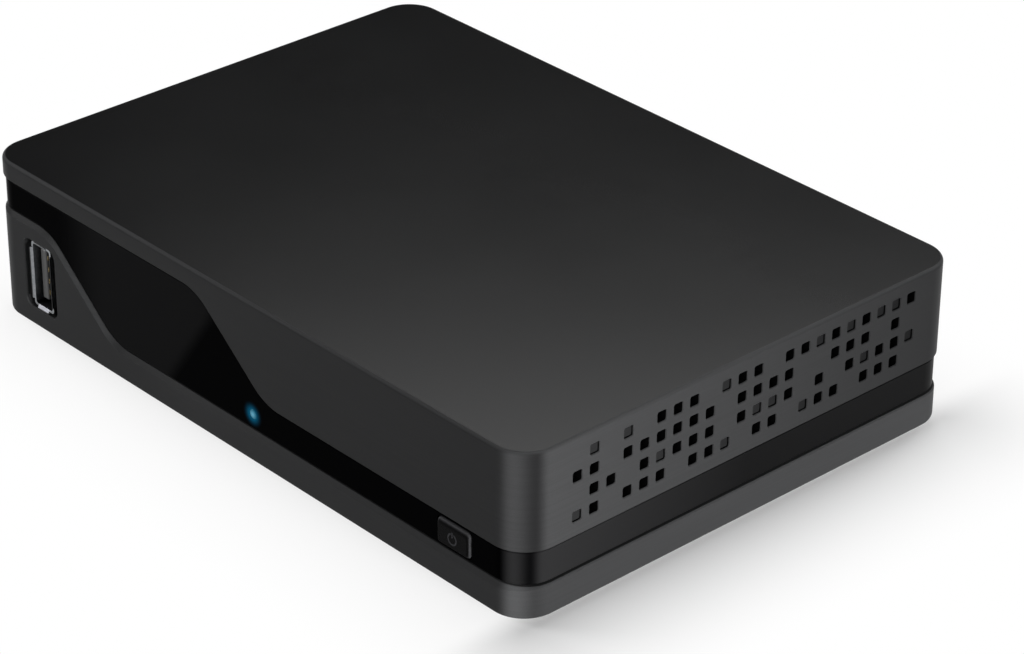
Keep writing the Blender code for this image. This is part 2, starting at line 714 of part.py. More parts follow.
def make_band_frame(finishes):
    """Glossy band and the frame behind it, open where things pass."""
    low_z = WALL + FIT_GAP
    high_z = ROOF_Z - FIT_GAP
    low_y = FRONT_Y - CUT_OVERRUN
    shape = bmesh.new()
    add_case_solid(shape, BAND_RECESS, 0.0, HEIGHT)
    band = solid("band_frame", shape, finishes["gloss"])
    far_z = HEIGHT + CUT_OVERRUN
    trim_front_and_rear(band, "band_top", (upper_front_edge(), upper_rear_edge()), -FIT_GAP, far_z)
    lower_edges = (lower_front_edge(), lower_rear_edge())
    trim_front_and_rear(band, "band_bottom", lower_edges, FIT_GAP, -CUT_OVERRUN)
    soften(band, BAND_BEVEL, 1)

    core = bmesh.new()
    add_case_solid(core, FRAME_INSET, low_z, high_z)
    combine(band, guide("band_core", core), "UNION")
    room = bmesh.new()
    add_case_solid(room, ROOM_INSET, -CUT_OVERRUN, HEIGHT + CUT_OVERRUN)
    combine(band, guide("band_room", room), "DIFFERENCE")

    cuts = bmesh.new()
    vent_low_y = FRONT_Y + VENT_START - VENT_PITCH / 2 - VENT_MARGIN
    vent_high_y = vent_low_y + len(VENT_ROWS[0]) * VENT_PITCH + 2 * VENT_MARGIN
    rows = len(VENT_ROWS) - 1
    vent_low_z = HEIGHT - VENT_TOP_DROP - rows * VENT_PITCH - VENT_SIZE / 2 - VENT_MARGIN / 2
    inner_x = WIDTH / 2 - ROOM_INSET - CUT_OVERRUN
    outer_x = WIDTH / 2 - WALL + FIT_GAP / 2
    add_box(cuts, (inner_x, vent_low_y, vent_low_z), (outer_x, vent_high_y, HEIGHT))
    add_box(cuts, (-outer_x, vent_low_y, 0.0), (-inner_x, vent_high_y, HEIGHT - vent_low_z))

    usb_x = LEFT_X + USB_FROM_LEFT
    reach_y = FRONT_Y + ROOM_INSET + CUT_OVERRUN
    half_width = USB_MOUTH_WIDTH / 2 + USB_METAL + FIT_GAP
    half_height = USB_MOUTH_HEIGHT / 2 + USB_METAL + FIT_GAP
    usb_low = (usb_x - half_width, FRONT_Y + WALL - FIT_GAP, USB_RISE - half_height)
    add_box(cuts, usb_low, (usb_x + half_width, reach_y, USB_RISE + half_height))

    half_width = BUTTON_WIDTH / 2 + FIT_GAP
    half_height = BUTTON_HEIGHT / 2 + FIT_GAP
    button_low = (BUTTON_X - half_width, low_y, STRIP_MIDDLE_Z - half_height)
    add_box(cuts, button_low, (BUTTON_X + half_width, reach_y, STRIP_MIDDLE_Z + half_height))

    light = rod_profile(LIGHT_RADIUS + FIT_GAP, -CUT_OVERRUN, ROOM_INSET + CUT_OVERRUN)
    light_place = (LEFT_X + LIGHT_FROM_LEFT, FRONT_Y, STRIP_MIDDLE_Z - LIGHT_DROP)
    add_turned(cuts, light, light_place, SMALL_ROUND_STEPS, along_y=True)
    combine(band, guide("band_openings", cuts), "DIFFERENCE")

    pocket = bmesh.new()
    low, high = panel_box(-CUT_OVERRUN, CUT_OVERRUN + FRAME_INSET, -FIT_GAP)
    add_box(pocket, low, high)
    combine(band, guide("panel_pocket", pocket), "DIFFERENCE")
    window = bmesh.new()
    low, high = panel_box(0.0, ROOM_INSET + CUT_OVERRUN, PANEL_SEAT)
    add_box(window, low, high)
    combine(band, guide("panel_window", window), "DIFFERENCE")
    return band


def chip(name, finish, width, length, height, x, y, bevel=CHIP_BEVEL, base_z=PART_Z):
    """Make a bevelled block that stands on the main board."""
    shape = bmesh.new()
    outline = rounded_outline(width, length, bevel, 1)
    inner = rounded_outline(width - 2 * bevel, length - 2 * bevel, bevel, 1)
    layers = [[(px, py, 0.0) for px, py in outline]]
    layers.append([(px, py, height - bevel) for px, py in outline])
    layers.append([(px, py, height) for px, py in inner])
    add_layers(shape, layers)
    return solid(name, shape, finish, (x, y, base_z))


def socket_middles():
    """Return the middle of each rear socket, with equal gaps between them."""
    middles = {}
    reach = -SOCKET_ROW / 2
    for name, width in SOCKET_WIDTHS.items():
        middles[name] = reach + SOCKET_GAP + width / 2
        reach += SOCKET_GAP + width
    return middles


def make_rear_panel(finishes, middles):
    """Plate in the rear of the band, with a hole for each socket."""
    shape = bmesh.new()
    low, high = panel_box(PANEL_RECESS, PANEL_THICKNESS, 0.0)
    add_box(shape, low, high)
    panel = solid("rear_panel", shape, finishes["panel"])

    holes = bmesh.new()
    near_y = low[1] - CUT_OVERRUN
    far_y = high[1] + CUT_OVERRUN
    square_sockets = (("network", NETWORK_WIDTH, NETWORK_HEIGHT), ("inlet", INLET_WIDTH, INLET_HEIGHT))
    for place, width, height in square_sockets:
        side = width / 2 + FIT_GAP
        add_box(
            holes,
            (middles[place] - side, near_y, PART_Z - FIT_GAP),
            (middles[place] + side, far_y, PART_Z + height + FIT_GAP),
        )
    outline = screen_outline(FIT_GAP)
    add_prism_along_y(holes, [(middles["screen"] + x, PART_Z + z) for x, z in outline], near_y, far_y)
    reach = far_y - near_y
    sound = rod_profile(SOUND_COLLAR_RADIUS + FIT_GAP, 0.0, reach)
    place = (middles["sound"], near_y, PART_Z + SOUND_HEIGHT / 2)
    add_turned(holes, sound, place, ROUND_STEPS, along_y=True)
    aerial = rod_profile(AERIAL_RADIUS + FIT_GAP, 0.0, reach)
    place = (middles["aerial"], near_y, PART_Z + TUNER_HEIGHT / 2)
    add_turned(holes, aerial, place, ROUND_STEPS, along_y=True)
    combine(panel, guide("panel_holes", holes), "DIFFERENCE")


def screen_outline(grow):
    """Return the screen socket's outline, its lower corners cut off."""
    half = SCREEN_WIDTH / 2 + grow
    low = -grow
    high = SCREEN_HEIGHT + grow
    cut = SCREEN_CHAMFER
    right = [(half - cut, low), (half, low + cut), (half, high)]
    return right + [(-x, z) for x, z in reversed(right)]


def make_screen_socket(finishes, x):
    """Metal shell with a narrowing mouth and the tongue inside it."""
    place = (x, SOCKET_Y, PART_Z)
    shape = bmesh.new()
    add_prism_along_y(shape, screen_outline(0.0), -SCREEN_LENGTH, 0.0)
    shell = solid("screen_socket", shape, finishes["steel"], place)
    mouth = bmesh.new()
    depth = SCREEN_LENGTH - SCREEN_BACK_WALL
    add_prism_along_y(mouth, screen_outline(-SCREEN_METAL), -depth, CUT_OVERRUN)
    combine(shell, guide("screen_mouth", mouth, place), "DIFFERENCE")

    tongue = bmesh.new()
    middle_z = SCREEN_HEIGHT / 2
    low = (-SCREEN_TONGUE_WIDTH / 2, FIT_GAP - depth, middle_z - SCREEN_TONGUE_THICKNESS / 2)
    high = (SCREEN_TONGUE_WIDTH / 2, -SCREEN_TONGUE_SETBACK, middle_z + SCREEN_TONGUE_THICKNESS / 2)
    add_box(tongue, low, high)
    solid("screen_tongue", tongue, finishes["chip"], place)


def make_network_socket(finishes, x):
    """Network socket with its latch slot and a bank of contacts."""
    place = (x, SOCKET_Y, PART_Z)
    shape = bmesh.new()
    add_box(shape, (-NETWORK_WIDTH / 2, -NETWORK_LENGTH, 0.0), (NETWORK_WIDTH / 2, 0.0, NETWORK_HEIGHT))
    socket = solid("network_socket", shape, finishes["steel"], place)
    half = NETWORK_MOUTH_WIDTH / 2
    latch = NETWORK_LATCH_WIDTH / 2
    low_z = NETWORK_MOUTH_RISE
    high_z = low_z + NETWORK_MOUTH_HEIGHT
    latch_z = low_z - NETWORK_LATCH_HEIGHT
    outline = [(-latch, latch_z), (latch, latch_z), (latch, low_z), (half, low_z)]
    outline += [(half, high_z), (-half, high_z), (-half, low_z), (-latch, low_z)]
    mouth = bmesh.new()
    add_prism_along_y(mouth, outline, -NETWORK_MOUTH_DEPTH, CUT_OVERRUN)
    combine(socket, guide("network_mouth", mouth, place), "DIFFERENCE")

    contacts = bmesh.new()
    low = (FIT_GAP - half, FIT_GAP - NETWORK_MOUTH_DEPTH, high_z - FIT_GAP - NETWORK_CONTACT_THICKNESS)
    high = (half - FIT_GAP, -NETWORK_LATCH_WIDTH, high_z - FIT_GAP)
    add_box(contacts, low, high)
    solid("network_contacts", contacts, finishes["brass"], place)


def make_sound_socket(finishes, x):
    """Round socket whose collar passes through the rear panel."""
    place = (x, SOCKET_Y, PART_Z)
    body_end = -(PANEL_RECESS + PANEL_THICKNESS + FIT_GAP)
    middle_z = SOUND_HEIGHT / 2
    shape = bmesh.new()
    add_box(shape, (-SOUND_WIDTH / 2, -SOUND_LENGTH, 0.0), (SOUND_WIDTH / 2, body_end, SOUND_HEIGHT))
    socket = solid("sound_socket", shape, finishes["chip"], place)
    collar = bmesh.new()
    profile = rod_profile(SOUND_COLLAR_RADIUS, body_end - WALL, 0.0)
    add_turned(collar, profile, (0.0, 0.0, middle_z), ROUND_STEPS, True)
    combine(socket, guide("sound_collar", collar, place), "UNION")
    bore = bmesh.new()
    profile = rod_profile(SOUND_BORE_RADIUS, -SOUND_BORE_DEPTH, CUT_OVERRUN)
    add_turned(bore, profile, (0.0, 0.0, middle_z), SMALL_ROUND_STEPS, True)
    combine(socket, guide("sound_bore", bore, place), "DIFFERENCE")


def make_power_inlet(finishes, x):
    """Power inlet with the pin in the middle of its bore."""
    place = (x, SOCKET_Y, PART_Z)
    shape = bmesh.new()
    add_box(shape, (-INLET_WIDTH / 2, -INLET_LENGTH, 0.0), (INLET_WIDTH / 2, 0.0, INLET_HEIGHT))
    inlet = solid("power_inlet", shape, finishes["chip"], place)
    bore = bmesh.new()
    profile = rod_profile(INLET_BORE_RADIUS, -INLET_BORE_DEPTH, CUT_OVERRUN)
    add_turned(bore, profile, (0.0, 0.0, INLET_RISE), ROUND_STEPS, True)
    combine(inlet, guide("inlet_bore", bore, place), "DIFFERENCE")
    pin = bmesh.new()
    tip = -INLET_PIN_SETBACK
    blunt = INLET_PIN_RADIUS / 2
    profile = [(0.0, FIT_GAP - INLET_BORE_DEPTH), (INLET_PIN_RADIUS, FIT_GAP - INLET_BORE_DEPTH)]
    profile += [(INLET_PIN_RADIUS, tip - blunt), (blunt, tip), (0.0, tip)]
    add_turned(pin, profile, (0.0, 0.0, INLET_RISE), SMALL_ROUND_STEPS, True)
    solid("power_inlet_pin", pin, finishes["brass"], place)


def make_tuner(finishes, x):
    """Screened tuner with the aerial socket in front of it."""
    tuner_y = BACK_Y - ROOM_INSET - FIT_GAP
    shape = bmesh.new()
    edge = TUNER_LID_EDGE
    outline = rounded_outline(TUNER_WIDTH, TUNER_LENGTH, edge, 1)
    inner = rounded_outline(TUNER_WIDTH - 2 * edge, TUNER_LENGTH - 2 * edge, edge, 1)
    layers = [[(px, py, 0.0) for px, py in outline]]
    layers.append([(px, py, TUNER_HEIGHT - edge) for px, py in outline])
    layers.append([(px, py, TUNER_HEIGHT) for px, py in inner])
    add_layers(shape, layers)
    solid("tuner_can", shape, finishes["steel"], (x, tuner_y - TUNER_LENGTH / 2, PART_Z))

    root = tuner_y + FIT_GAP
    flange_end = root + AERIAL_FLANGE
    tip = BACK_Y + AERIAL_REACH
    profile = [(0.0, root), (AERIAL_FLANGE_RADIUS, root), (AERIAL_FLANGE_RADIUS, flange_end)]
    profile.append((AERIAL_RADIUS, flange_end))
    pitch = AERIAL_REACH / (AERIAL_GROOVES + 1)
    for groove in range(AERIAL_GROOVES):
        crest = BACK_Y + (groove + 0.5) * pitch
        profile.append((AERIAL_RADIUS, crest))
        profile.append((AERIAL_RADIUS - AERIAL_GROOVE, crest + pitch / 2))
    profile += [(AERIAL_RADIUS, tip - pitch / 2), (AERIAL_RADIUS - AERIAL_GROOVE, tip)]
    profile += [(AERIAL_BORE_RADIUS, tip), (AERIAL_BORE_RADIUS, tip - AERIAL_BORE_DEPTH)]
    profile.append((0.0, tip - AERIAL_BORE_DEPTH))
    shape = bmesh.new()
    aerial_z = PART_Z + TUNER_HEIGHT / 2
    add_turned(shape, profile, (0.0, 0.0, 0.0), ROUND_STEPS, True)
    solid("aerial_socket", shape, finishes["steel"], (x, 0.0, aerial_z))

    low = tip - AERIAL_BORE_DEPTH + FIT_GAP
    high = low + AERIAL_INSULATOR_LENGTH
    hole = AERIAL_PIN_HOLE_RADIUS
    radius = AERIAL_BORE_RADIUS - FIT_GAP
    floor = (low + high) / 2
    profile = [(0.0, low), (radius, low), (radius, high), (hole, high), (hole, floor), (0.0, floor)]
    shape = bmesh.new()
    add_turned(shape, profile, (0.0, 0.0, 0.0), SMALL_ROUND_STEPS, True)
    solid("aerial_insulator", shape, finishes["white"], (x, 0.0, aerial_z))


def make_usb_port(finishes):
    """Metal USB shell on the front board, with its tongue."""
    mouth_y = FRONT_Y + USB_SETBACK
    length = FRONT_BOARD_Y - FIT_GAP - mouth_y
    place = (LEFT_X + USB_FROM_LEFT, mouth_y, USB_RISE)
    half_width = USB_MOUTH_WIDTH / 2
    half_height = USB_MOUTH_HEIGHT / 2
    shape = bmesh.new()
    low = (-half_width - USB_METAL, 0.0, -half_height - USB_METAL)
    add_box(shape, low, (half_width + USB_METAL, length, half_height + USB_METAL))
    shell = solid("usb_port_shell", shape, finishes["steel"], place)
    mouth = bmesh.new()
    depth = length - USB_BACK_WALL
    add_box(mouth, (-half_width, -CUT_OVERRUN, -half_height), (half_width, depth, half_height))
    combine(shell, guide("usb_mouth", mouth, place), "DIFFERENCE")
    tongue = bmesh.new()
    near = USB_TONGUE_OFFSET - USB_TONGUE_THICKNESS / 2
    low = (near, USB_TONGUE_SETBACK, -USB_TONGUE_HEIGHT / 2)
    add_box(tongue, low, (near + USB_TONGUE_THICKNESS, depth - FIT_GAP, USB_TONGUE_HEIGHT / 2))
    solid("usb_port_tongue", tongue, finishes["grey"], place)


def make_power_button(finishes):
    """Push button, the switch behind it and the switch's plunger.

    The button's origin is on its line of travel, at the band's face.
    """
    axis = (BUTTON_X, FRONT_Y + BAND_RECESS, STRIP_MIDDLE_Z)
    flange_y = ROOM_INSET - BAND_RECESS + FIT_GAP
    plunger_travel = BUTTON_TRAVEL * PLUNGER_RATIO_SHARE
    rest_gap = BUTTON_TRAVEL - plunger_travel + PLUNGER_END_GAP
    switch_y = FRONT_BOARD_Y - axis[1] - FIT_GAP - SWITCH_HEIGHT
    plunger_y = switch_y - PLUNGER_PROUD
    stem_end = plunger_y - rest_gap

    half_width = BUTTON_WIDTH / 2
    half_height = BUTTON_HEIGHT / 2
    face_y = -BUTTON_PROUD
    layers = []
    root_y = flange_y + BUTTON_FLANGE / 2
    for draw_in, y in ((BUTTON_BEVEL, face_y), (0.0, face_y + BUTTON_BEVEL), (0.0, root_y)):
        x = half_width - draw_in
        z = half_height - draw_in
        layers.append([(-x, y, -z), (x, y, -z), (x, y, z), (-x, y, z)])
    shape = bmesh.new()
    add_layers(shape, layers)
    button = solid("power_button", shape, finishes["button"], axis)
    backing = bmesh.new()
    margin = BUTTON_FLANGE_MARGIN
    low = (-half_width - margin, flange_y, -half_height - margin)
    add_box(backing, low, (half_width + margin, flange_y + BUTTON_FLANGE, half_height + margin))
    combine(button, guide("button_flange", backing, axis), "UNION")
    stem = bmesh.new()
    profile = rod_profile(BUTTON_STEM_RADIUS, flange_y + BUTTON_FLANGE / 2, stem_end)
    add_turned(stem, profile, (0.0, 0.0, 0.0), SMALL_ROUND_STEPS, True)
    combine(button, guide("button_stem", stem, axis), "UNION")

    body = bmesh.new()
    half = SWITCH_SIZE / 2
    add_box(body, (-half, switch_y, -half), (half, switch_y + SWITCH_HEIGHT, half))
    switch = solid("power_switch_body", body, finishes["steel"], axis)
    bore = bmesh.new()
    bore_depth = PLUNGER_DEPTH + plunger_travel + FIT_GAP
    profile = rod_profile(PLUNGER_RADIUS + FIT_GAP, switch_y - CUT_OVERRUN, switch_y + bore_depth)
    add_turned(bore, profile, (0.0, 0.0, 0.0), SMALL_ROUND_STEPS, True)
    combine(switch, guide("switch_bore", bore, axis), "DIFFERENCE")

    plunger = bmesh.new()
    profile = rod_profile(PLUNGER_RADIUS, 0.0, PLUNGER_PROUD + PLUNGER_DEPTH)
    add_turned(plunger, profile, (0.0, 0.0, 0.0), SMALL_ROUND_STEPS, True)
    solid("power_switch_plunger", plunger, finishes["chip"], (axis[0], axis[1] + plunger_y, axis[2]))


def make_front_board_parts(finishes):
    """Front board with the status light and the infrared receiver."""
    shape = bmesh.new()
    half = WIDTH / 2 - FRONT_BOARD_END_INSET
    low_z = WALL + 2 * FIT_GAP
    high_z = ROOF_Z - FRONT_BOARD_ROOF_GAP
    add_box(shape, (-half, FRONT_BOARD_Y, low_z), (half, FRONT_BOARD_BACK_Y, high_z))
    solid("front_board", shape, finishes["board"])

    place = (LEFT_X + LIGHT_FROM_LEFT, FRONT_Y, STRIP_MIDDLE_Z - LIGHT_DROP)
    led_y = FRONT_BOARD_SETBACK - FIT_GAP - LED_THICKNESS
    shape = bmesh.new()
    low = (-LED_WIDTH / 2, led_y, -LED_HEIGHT / 2)
    add_box(shape, low, (LED_WIDTH / 2, led_y + LED_THICKNESS, LED_HEIGHT / 2))
    solid("status_led", shape, finishes["light"], place)
    face = BAND_RECESS
    flange = ROOM_INSET + FIT_GAP
    flange_end = flange + LIGHT_FLANGE
    end = led_y - FIT_GAP
    profile = [(0.0, face), (LIGHT_RADIUS, face), (LIGHT_RADIUS, flange)]
    profile += [(LIGHT_FLANGE_RADIUS, flange), (LIGHT_FLANGE_RADIUS, flange_end)]
    profile += [(LIGHT_RADIUS, flange_end), (LIGHT_RADIUS, end), (0.0, end)]
    shape = bmesh.new()
    add_turned(shape, profile, (0.0, 0.0, 0.0), SMALL_ROUND_STEPS, True)
    solid("status_light_pipe", shape, finishes["light"], place)

    middle_z = (DEEP_WALL_Z + LIP_Z) / 2
    place = (LEFT_X + RECEIVER_FROM_LEFT, FRONT_BOARD_Y - FIT_GAP, middle_z)
    shape = bmesh.new()
    low = (-RECEIVER_WIDTH / 2, -RECEIVER_THICKNESS, -RECEIVER_HEIGHT / 2)
    add_box(shape, low, (RECEIVER_WIDTH / 2, 0.0, RECEIVER_HEIGHT / 2))
    receiver = solid("infrared_receiver", shape, finishes["chip"], place)
    lens = bmesh.new()
    radius = RECEIVER_LENS_RADIUS
    steps = BEVEL_STEPS + 1
    root_y = -RECEIVER_THICKNESS / 2
    profile = [(0.0, root_y), (radius, root_y)]
    for step in range(steps):
        turn = math.pi / 2 * step / steps
        profile.append((radius * math.cos(turn), -RECEIVER_THICKNESS - RECEIVER_LENS_RISE * math.sin(turn)))
    profile.append((0.0, -RECEIVER_THICKNESS - RECEIVER_LENS_RISE))
    add_turned(lens, profile, (0.0, 0.0, 0.0), SMALL_ROUND_STEPS, True)
    combine(receiver, guide("receiver_lens", lens, place), "UNION")


def make_flat_cable(finishes):
    """Flat cable that joins the front board to the main board."""
    half = HEADER_WIDTH / 2
    high_z = BOARD_TOP_Z + HEADER_RISE / 2
    shape = bmesh.new()
    near_y = FRONT_BOARD_BACK_Y + FIT_GAP
    far_y = near_y + HEADER_THICKNESS
    low = (HEADER_X - half, near_y, high_z - HEADER_HEIGHT / 2)
    add_box(shape, low, (HEADER_X + half, far_y, high_z + HEADER_HEIGHT / 2))
    solid("front_board_header", shape, finishes["white"])

    start_y = far_y + FIT_GAP
    drop_y = start_y + CABLE_THICKNESS + CABLE_BEND
    shape = bmesh.new()
    header_y = drop_y
    low = (HEADER_X - half, header_y - HEADER_HEIGHT / 2, PART_Z)
    top_z = PART_Z + HEADER_THICKNESS
    add_box(shape, low, (HEADER_X + half, header_y + HEADER_HEIGHT / 2, top_z))
    solid("main_board_header", shape, finishes["white"])

    inner = CABLE_BEND - CABLE_THICKNESS / 2
    outer = CABLE_BEND + CABLE_THICKNESS / 2
    centre = (drop_y - CABLE_BEND, high_z - CABLE_BEND)
    end_z = top_z + FIT_GAP
    outline = [(start_y, centre[1] + outer)]
    arcs = [math.pi / 2 * step / SWEEP_STEPS for step in range(SWEEP_STEPS + 1)]
    for turn in arcs:
        outline.append((centre[0] + outer * math.sin(turn), centre[1] + outer * math.cos(turn)))
    outline += [(centre[0] + outer, end_z), (centre[0] + inner, end_z)]
    for turn in reversed(arcs):
        outline.append((centre[0] + inner * math.sin(turn), centre[1] + inner * math.cos(turn)))
    outline.append((start_y, centre[1] + inner))
    shape = bmesh.new()
    add_prism_along_x(shape, outline, HEADER_X - CABLE_WIDTH / 2, HEADER_X + CABLE_WIDTH / 2)
    solid("flat_cable", shape, finishes["ribbon"])


def make_main_board(finishes):
    """Main board with a hole for each of its screws."""
    low_y = FRONT_Y + BOARD_FRONT_INSET
    high_y = BACK_Y - BOARD_REAR_INSET
    middle_y = (low_y + high_y) / 2
    outline = rounded_outline(WIDTH - 2 * BOARD_SIDE_INSET, high_y - low_y, BOARD_CORNER_RADIUS, 2)
    shape = bmesh.new()
    add_layers(shape, [[(x, middle_y + y, z) for x, y in outline] for z in (BOARD_Z, BOARD_TOP_Z)])
    board = solid("main_board", shape, finishes["board"])
    holes = bmesh.new()
    for x, y in board_screw_places().values():
        ends = (BOARD_Z - CUT_OVERRUN, BOARD_TOP_Z + CUT_OVERRUN)
        profile = rod_profile(BOARD_SCREW_RADIUS + FIT_GAP, *ends)
        add_turned(holes, profile, (x, y, 0.0), SMALL_ROUND_STEPS)
    combine(board, guide("board_holes", holes), "DIFFERENCE")


def make_heat_sink(finishes):
    """Processor, thermal pad and the finned heat sink above them."""
    place = (PROCESSOR_X, PROCESSOR_Y)
    chip("main_processor", finishes["chip"], PROCESSOR_SIZE, PROCESSOR_SIZE, PROCESSOR_THICKNESS, *place)
    pad_z = PART_Z + PROCESSOR_THICKNESS + FIT_GAP
    chip("thermal_pad", finishes["pad"], PAD_SIZE, PAD_SIZE, PAD_THICKNESS, *place, base_z=pad_z)
    base_z = pad_z + PAD_THICKNESS + FIT_GAP
    half = SINK_WIDTH / 2
    tip = SINK_BASE + SINK_FIN_HEIGHT
    outline = [(-half, 0.0), (half, 0.0)]
    pitch = (SINK_WIDTH - SINK_FIN) / (SINK_FINS - 1)
    for fin in range(SINK_FINS - 1, -1, -1):
        low_x = fin * pitch - half
        high_x = low_x + SINK_FIN
        outline += [(high_x, SINK_BASE), (high_x, tip), (low_x, tip), (low_x, SINK_BASE)]
    del outline[-1]
    del outline[2]
    shape = bmesh.new()
    add_prism_along_y(shape, outline, -SINK_LENGTH / 2, SINK_LENGTH / 2)
    solid("heat_sink", shape, finishes["aluminium"], (PROCESSOR_X, PROCESSOR_Y, base_z))


def make_board_parts(finishes, middles):
    """Memory, flash, crystal, transformer, coils and capacitors."""
    board_front_y = FRONT_Y + BOARD_FRONT_INSET
    memory_y = board_front_y + MEMORY_BOARD_INSET + MEMORY_LENGTH / 2
    size = (MEMORY_WIDTH, MEMORY_LENGTH, CHIP_THICKNESS)
    reach = (MEMORY_WIDTH + MEMORY_GAP) / 2
    for number, side in enumerate((-1.0, 1.0), start=1):
        x = PROCESSOR_X + side * reach
        chip(f"memory_chip_{number}", finishes["chip"], *size, x, memory_y)
    flash_x = PROCESSOR_X - SINK_WIDTH / 2 - PART_GAP - FLASH_WIDTH / 2
    chip("flash_chip", finishes["chip"], FLASH_WIDTH, FLASH_LENGTH, CHIP_THICKNESS, flash_x, PROCESSOR_Y)

    shape = bmesh.new()
    outline = rounded_outline(CRYSTAL_LENGTH, CRYSTAL_WIDTH, CRYSTAL_WIDTH / 2 - FIT_GAP, CORNER_STEPS // 2)
    add_layers(shape, [[(x, y, z) for x, y in outline] for z in (0.0, CRYSTAL_HEIGHT)])
    crystal_x = PROCESSOR_X + SINK_WIDTH / 2 + PART_GAP + CRYSTAL_LENGTH / 2
    solid("clock_crystal", shape, finishes["steel"], (crystal_x, PROCESSOR_Y, PART_Z))

    transformer_y = SOCKET_Y - NETWORK_LENGTH - PART_GAP - TRANSFORMER_LENGTH / 2
    size = (TRANSFORMER_WIDTH, TRANSFORMER_LENGTH, TRANSFORMER_HEIGHT)
    chip("network_transformer", finishes["chip"], *size, middles["network"], transformer_y)

    power_x = middles["inlet"]
    coil_y = SOCKET_Y - INLET_LENGTH - PART_GAP - COIL_SIZE / 2
    for number in range(2):
        x = power_x + number * (COIL_SIZE + PART_GAP)
        name = f"power_coil_{number + 1}"
        chip(name, finishes["chip"], COIL_SIZE, COIL_SIZE, COIL_HEIGHT, x, coil_y, bevel=COIL_CORNER)
    rim = CAPACITOR_ROUNDING
    radius = CAPACITOR_RADIUS
    groove_z = CAPACITOR_HEIGHT * CAPACITOR_GROOVE_SHARE
    profile = [(0.0, 0.0), (radius - rim, 0.0), (radius, rim), (radius, groove_z - CAPACITOR_GROOVE)]
    profile += [(radius - CAPACITOR_GROOVE, groove_z), (radius, groove_z + CAPACITOR_GROOVE)]
    profile += [(radius, CAPACITOR_HEIGHT - rim), (radius - rim, CAPACITOR_HEIGHT), (0.0, CAPACITOR_HEIGHT)]
    first_x = PROCESSOR_X + SINK_WIDTH / 2 + PART_GAP + radius
    for number in range(CAPACITORS):
        across = number % 2
        along = number // 2
        x = first_x + across * (2 * radius + PART_GAP)
        y = coil_y - COIL_SIZE / 2 - PART_GAP - radius - along * (2 * radius + PART_GAP)
        shape = bmesh.new()
        add_turned(shape, profile, (0.0, 0.0, 0.0), SMALL_ROUND_STEPS)
        solid(f"capacitor_{number + 1}", shape, finishes["aluminium"], (x, y, PART_Z))


def screw(name, finish, place, radius, length, head_radius, head_height, head_up):
    """Make a screw with a crossed slot; its origin is under its head."""
    side = 1.0 if head_up else -1.0
    profile = [(0.0, -side * length), (radius, -side * length), (radius, 0.0)]
    profile += [(head_radius, 0.0), (head_radius, side * head_height), (0.0, side * head_height)]
    shape = bmesh.new()
    add_turned(shape, profile, (0.0, 0.0, 0.0), SMALL_ROUND_STEPS)
    item = solid(name, shape, finish, place)
    cross = bmesh.new()
    arm = radius
    half = SLOT_WIDTH / 2
    outline = [(half, half), (half, arm), (-half, arm), (-half, half), (-arm, half), (-arm, -half)]
    outline += [(-half, -half), (-half, -arm), (half, -arm), (half, -half), (arm, -half), (arm, half)]
    ends = (side * (head_height - SLOT_DEPTH), side * (head_height + CUT_OVERRUN))
    add_layers(cross, [[(x, y, z) for x, y in outline] for z in sorted(ends)])
    combine(item, guide(name + "_slot", cross, place), "DIFFERENCE")


def make_fasteners(finishes):
    """Case screws, main board screws and rubber feet."""
    for name, (x, y) in screw_places().items():
        place = (x, y, SCREW_HEAD_SINK + SCREW_HEAD_HEIGHT)
        sizes = (SCREW_RADIUS, SCREW_LENGTH, SCREW_HEAD_RADIUS, SCREW_HEAD_HEIGHT)
        screw(f"case_screw_{name}", finishes["steel"], place, *sizes, False)
    for name, (x, y) in board_screw_places().items():
        sizes = (BOARD_SCREW_RADIUS, BOARD_SCREW_LENGTH, BOARD_SCREW_HEAD_RADIUS, BOARD_SCREW_HEAD_HEIGHT)
        screw(f"board_screw_{name}", finishes["steel"], (x, y, PART_Z), *sizes, True)
    rim = FOOT_ROUNDING
    profile = [(0.0, 0.0), (FOOT_RADIUS - rim, 0.0), (FOOT_RADIUS, rim)]
    profile += [(FOOT_RADIUS, FOOT_HEIGHT), (0.0, FOOT_HEIGHT)]
    for name, (x, y) in foot_places().items():
        shape = bmesh.new()
        add_turned(shape, profile, (0.0, 0.0, 0.0), ROUND_STEPS)
        solid(f"foot_{name}", shape, finishes["rubber"], (x, y, -FOOT_PROUD))


def make_case_frame():
    """Return the empty that every piece hangs from."""
    empty = bpy.data.objects.new("case_frame", None)
    bpy.context.scene.collection.objects.link(empty)
    empty.location = CASE_PLACE
    return empty


clear_scene()
CASE_FRAME = make_case_frame()
FINISHES = make_finishes()
MIDDLES = socket_middles()
make_upper_shell(FINISHES)
make_lower_shell(FINISHES)
make_band_frame(FINISHES)
make_rear_panel(FINISHES, MIDDLES)
make_power_button(FINISHES)
make_usb_port(FINISHES)
make_front_board_parts(FINISHES)
make_flat_cable(FINISHES)
make_main_board(FINISHES)
make_heat_sink(FINISHES)
make_board_parts(FINISHES, MIDDLES)
make_tuner(FINISHES, MIDDLES["aerial"])
make_network_socket(FINISHES, MIDDLES["network"])
make_screen_socket(FINISHES, MIDDLES["screen"])
make_sound_socket(FINISHES, MIDDLES["sound"])
make_power_inlet(FINISHES, MIDDLES["inlet"])
make_fasteners(FINISHES)
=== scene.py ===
# %% [markdown]
# # A small television decoder, dressed for its portrait
#
# The decoder is a flat box of two dark plastic shells that interlock in a
# sloping line round a glossy band.  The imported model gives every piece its
# place.  This lesson makes the surfaces that a camera sees: mouldings with
# soft edges, small square vents, the ports and their metal, and the finishes.

# %% Load the fixed frame
import json
import math
from functools import partialmethod

import bmesh
import bpy
import numpy as np
from mathutils import Matrix, Vector


